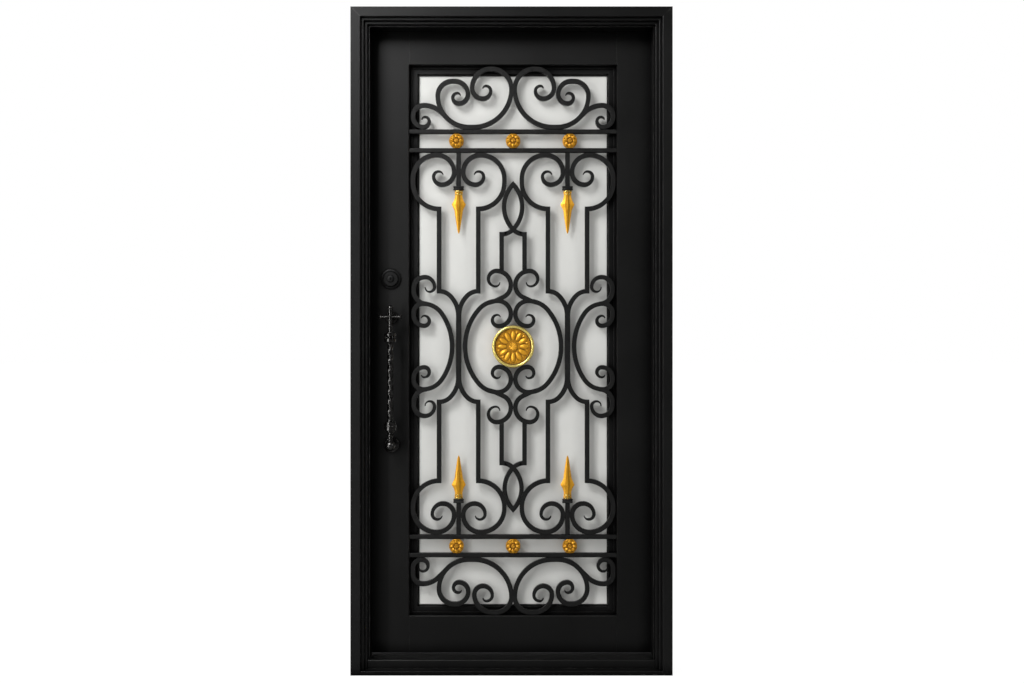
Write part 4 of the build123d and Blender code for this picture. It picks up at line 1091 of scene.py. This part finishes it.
class DOOR_OT_handle(bpy.types.Operator):
    """Model the twisted grip, the leaves of the hilt, the beaded knuckles and the turned rings"""

    bl_idname = "door.handle"
    bl_label = "Handle Ornament"

    def execute(self, context):
        length = GRIP_HIGH[2] - GRIP_LOW[2]
        bar = drawn_out("twisted_grip", length, levels=150, segments=48, outline=grip_section)
        bar = repeat("twisted_grip", bar, [self.upright(GRIP_LOW[2])])
        hand_over(bar, "leaf", "handle_coat")
        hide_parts("handle_grip")
        fleurs = []
        for heading, reach in ((0, ARM_REACH), (90, HEAD_REACH), (180, ARM_REACH)):
            spot = (cos(radians(heading)) * reach, 0, sin(radians(heading)) * reach)
            for fan in LEAF_FAN:
                turn = Matrix.Rotation(-radians(heading + fan), 4, "Y")
                base = self.upright(CROSS_LEVEL) @ Matrix.Translation(spot)
                fleurs.append(base @ turn @ Matrix.Translation((LEAF_STAND, 0, 0)))
        leaf = petal("hilt_leaf", length=0.0062, width=0.0029, height=0.0032, rib=0.0006)
        hand_over(repeat("hilt_leaves", leaf, fleurs), "leaf", "handle_coat")
        beads = []
        for level in (GRIP_HIGH[2] + KNUCKLE_REACH, GRIP_LOW[2] - KNUCKLE_REACH):
            for step in range(KNUCKLE_BEADS):
                angle = FULL_TURN * step / KNUCKLE_BEADS
                spot = (KNUCKLE_RADIUS * cos(angle), KNUCKLE_RADIUS * sin(angle), 0)
                beads.append(self.upright(level) @ Matrix.Translation(spot))
        knob = bead("knuckle_bead", KNUCKLE_BEAD, KNUCKLE_BEAD)
        hand_over(repeat("knuckle_beads", knob, beads), "leaf", "handle_coat")
        rings = []
        for end, way, rows in ((GRIP_HIGH[2], 1, HILT_RINGS), (GRIP_LOW[2], -1, FOOT_RINGS)):
            for rise, size in rows:
                rings.append(self.upright(end + way * rise) @ Matrix.Diagonal((size, size, 1, 1)))
        moulding = ring("handle_ring", KNUCKLE_RADIUS, RING_TUBE, turns=40, sides=10)
        hand_over(repeat("handle_rings", moulding, rings), "leaf", "handle_coat")
        return {"FINISHED"}

    def upright(self, level):
        """A placing on the handle's axis at a level."""
        return Matrix.Translation((GRIP_CENTRE.x, GRIP_CENTRE.y, level))


class DOOR_OT_studio(bpy.types.Operator):
    """Set up the floor, the lights, the backdrop and the camera"""

    bl_idname = "door.studio"
    bl_label = "Studio"

    def execute(self, context):
        studio = context.scene.door_studio
        disc = bpy.ops.mesh.primitive_circle_add
        floor = begin("floor", disc, vertices=96, radius=FLOOR_RADIUS, fill_type="NGON")
        floor.data.materials.append(self.floor_material())
        for name, (place, target, size, share) in LAMPS.items():
            self.lamp(name, place, target, size, studio.key_power * share)
        self.backdrop(studio.fill)
        bpy.ops.object.camera_add(location=tuple(studio.camera), rotation=(pi / 2, 0, 0))
        camera = context.active_object
        camera.data.lens = studio.lens
        context.scene.camera = camera
        context.scene.view_settings.view_transform = "Standard"
        return {"FINISHED"}

    def floor_material(self):
        """Pale floor that the camera sees as white, with the object's shadow on it."""
        material, tree, shader = start_material("floor")
        shader.inputs["Roughness"].default_value = 0.9
        light_path = tree.nodes.new("ShaderNodeLightPath")
        pale, dim = (0.82, 0.82, 0.81, 1), (0.16, 0.16, 0.16, 1)
        tone = blend_colours(tree, light_path.outputs["Is Glossy Ray"], pale, dim)
        tree.links.new(tone, shader.inputs["Base Color"])
        glow = tree.nodes.new("ShaderNodeEmission")
        glow.inputs["Color"].default_value = (1, 1, 1, 1)
        glow.inputs["Strength"].default_value = FLOOR_GLOW
        seen = math_node(tree, "MULTIPLY", light_path.outputs["Is Camera Ray"], FLOOR_GLOW_SHARE)
        mix = tree.nodes.new("ShaderNodeMixShader")
        tree.links.new(seen, mix.inputs["Fac"])
        tree.links.new(shader.outputs[0], mix.inputs[1])
        tree.links.new(glow.outputs[0], mix.inputs[2])
        tree.links.new(mix.outputs[0], tree.nodes["Material Output"].inputs["Surface"])
        return material

    def lamp(self, name, place, target, size, power):
        """A soft rectangular lamp that points at a spot on the door."""
        aim = (Vector(target) - Vector(place)).to_track_quat("-Z", "Y").to_euler()
        bpy.ops.object.light_add(type="AREA", location=place, rotation=aim)
        light = bpy.context.active_object
        light.name = name
        light.data.shape = "RECTANGLE"
        light.data.size, light.data.size_y = size
        light.data.energy = power

    def backdrop(self, fill):
        """White where the camera sees it, even light all round, and a dim front for reflections."""
        world = bpy.data.worlds.new("studio")
        bpy.context.scene.world = world
        world.use_nodes = True
        tree = world.node_tree
        tree.nodes.clear()
        output = tree.nodes.new("ShaderNodeOutputWorld")
        paths = tree.nodes.new("ShaderNodeLightPath")
        way = tree.nodes.new("ShaderNodeSeparateXYZ")
        tree.links.new(tree.nodes.new("ShaderNodeTexCoord").outputs["Generated"], way.inputs[0])
        mirrored = spread(tree, way.outputs["Y"], -0.2, 0.5, 0.05, 1.0)
        lit = tree.nodes.new("ShaderNodeBackground")
        lit.inputs["Color"].default_value = (1, 1, 1, 1)
        lit.inputs["Strength"].default_value = fill
        shown = tree.nodes.new("ShaderNodeBackground")
        shown.inputs["Color"].default_value = (1, 1, 1, 1)
        camera_ray = paths.outputs["Is Camera Ray"]
        clear = math_node(tree, "MAXIMUM", camera_ray, paths.outputs["Is Transmission Ray"])
        tree.links.new(math_node(tree, "MAXIMUM", clear, mirrored), shown.inputs["Strength"])
        seen = math_node(tree, "MAXIMUM", clear, paths.outputs["Is Glossy Ray"])
        mix = tree.nodes.new("ShaderNodeMixShader")
        tree.links.new(seen, mix.inputs["Fac"])
        tree.links.new(lit.outputs[0], mix.inputs[1])
        tree.links.new(shown.outputs[0], mix.inputs[2])
        tree.links.new(mix.outputs[0], output.inputs["Surface"])


class DOOR_PT_panel(bpy.types.Panel):
    """Lists the steps that dress the door"""

    bl_idname = "DOOR_PT_panel"
    bl_label = "Iron Door"
    bl_space_type = "VIEW_3D"
    bl_region_type = "UI"
    bl_category = "Iron Door"

    def draw(self, context):
        scene = context.scene
        for group in (scene.door_finish, scene.door_ornament, scene.door_studio):
            for label in group.__annotations__:
                self.layout.prop(group, label)
        for step in STEPS:
            self.layout.operator(step.bl_idname)


STEPS = (
    DOOR_OT_finishes,
    DOOR_OT_medallion,
    DOOR_OT_rosettes,
    DOOR_OT_spears,
    DOOR_OT_centre_scrolls,
    DOOR_OT_fixings,
    DOOR_OT_glazing_seal,
    DOOR_OT_deadbolt,
    DOOR_OT_handle,
    DOOR_OT_studio,
)
SETTINGS = {"door_finish": DoorFinish, "door_ornament": DoorOrnament, "door_studio": DoorStudio}


def register():
    for group in SETTINGS.values():
        bpy.utils.register_class(group)
    for step in STEPS + (DOOR_PT_panel,):
        bpy.utils.register_class(step)
    for name, group in SETTINGS.items():
        setattr(bpy.types.Scene, name, bpy.props.PointerProperty(type=group))


def unregister():
    for name in SETTINGS:
        delattr(bpy.types.Scene, name)
    for step in STEPS + (DOOR_PT_panel,):
        bpy.utils.unregister_class(step)
    for group in SETTINGS.values():
        bpy.utils.unregister_class(group)


def main():
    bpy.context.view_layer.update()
    register()
    for step in STEPS:
        area, action = step.bl_idname.split(".")
        getattr(getattr(bpy.ops, area), action)()
    bpy.context.view_layer.update()


if __name__ == "__main__":
    main()
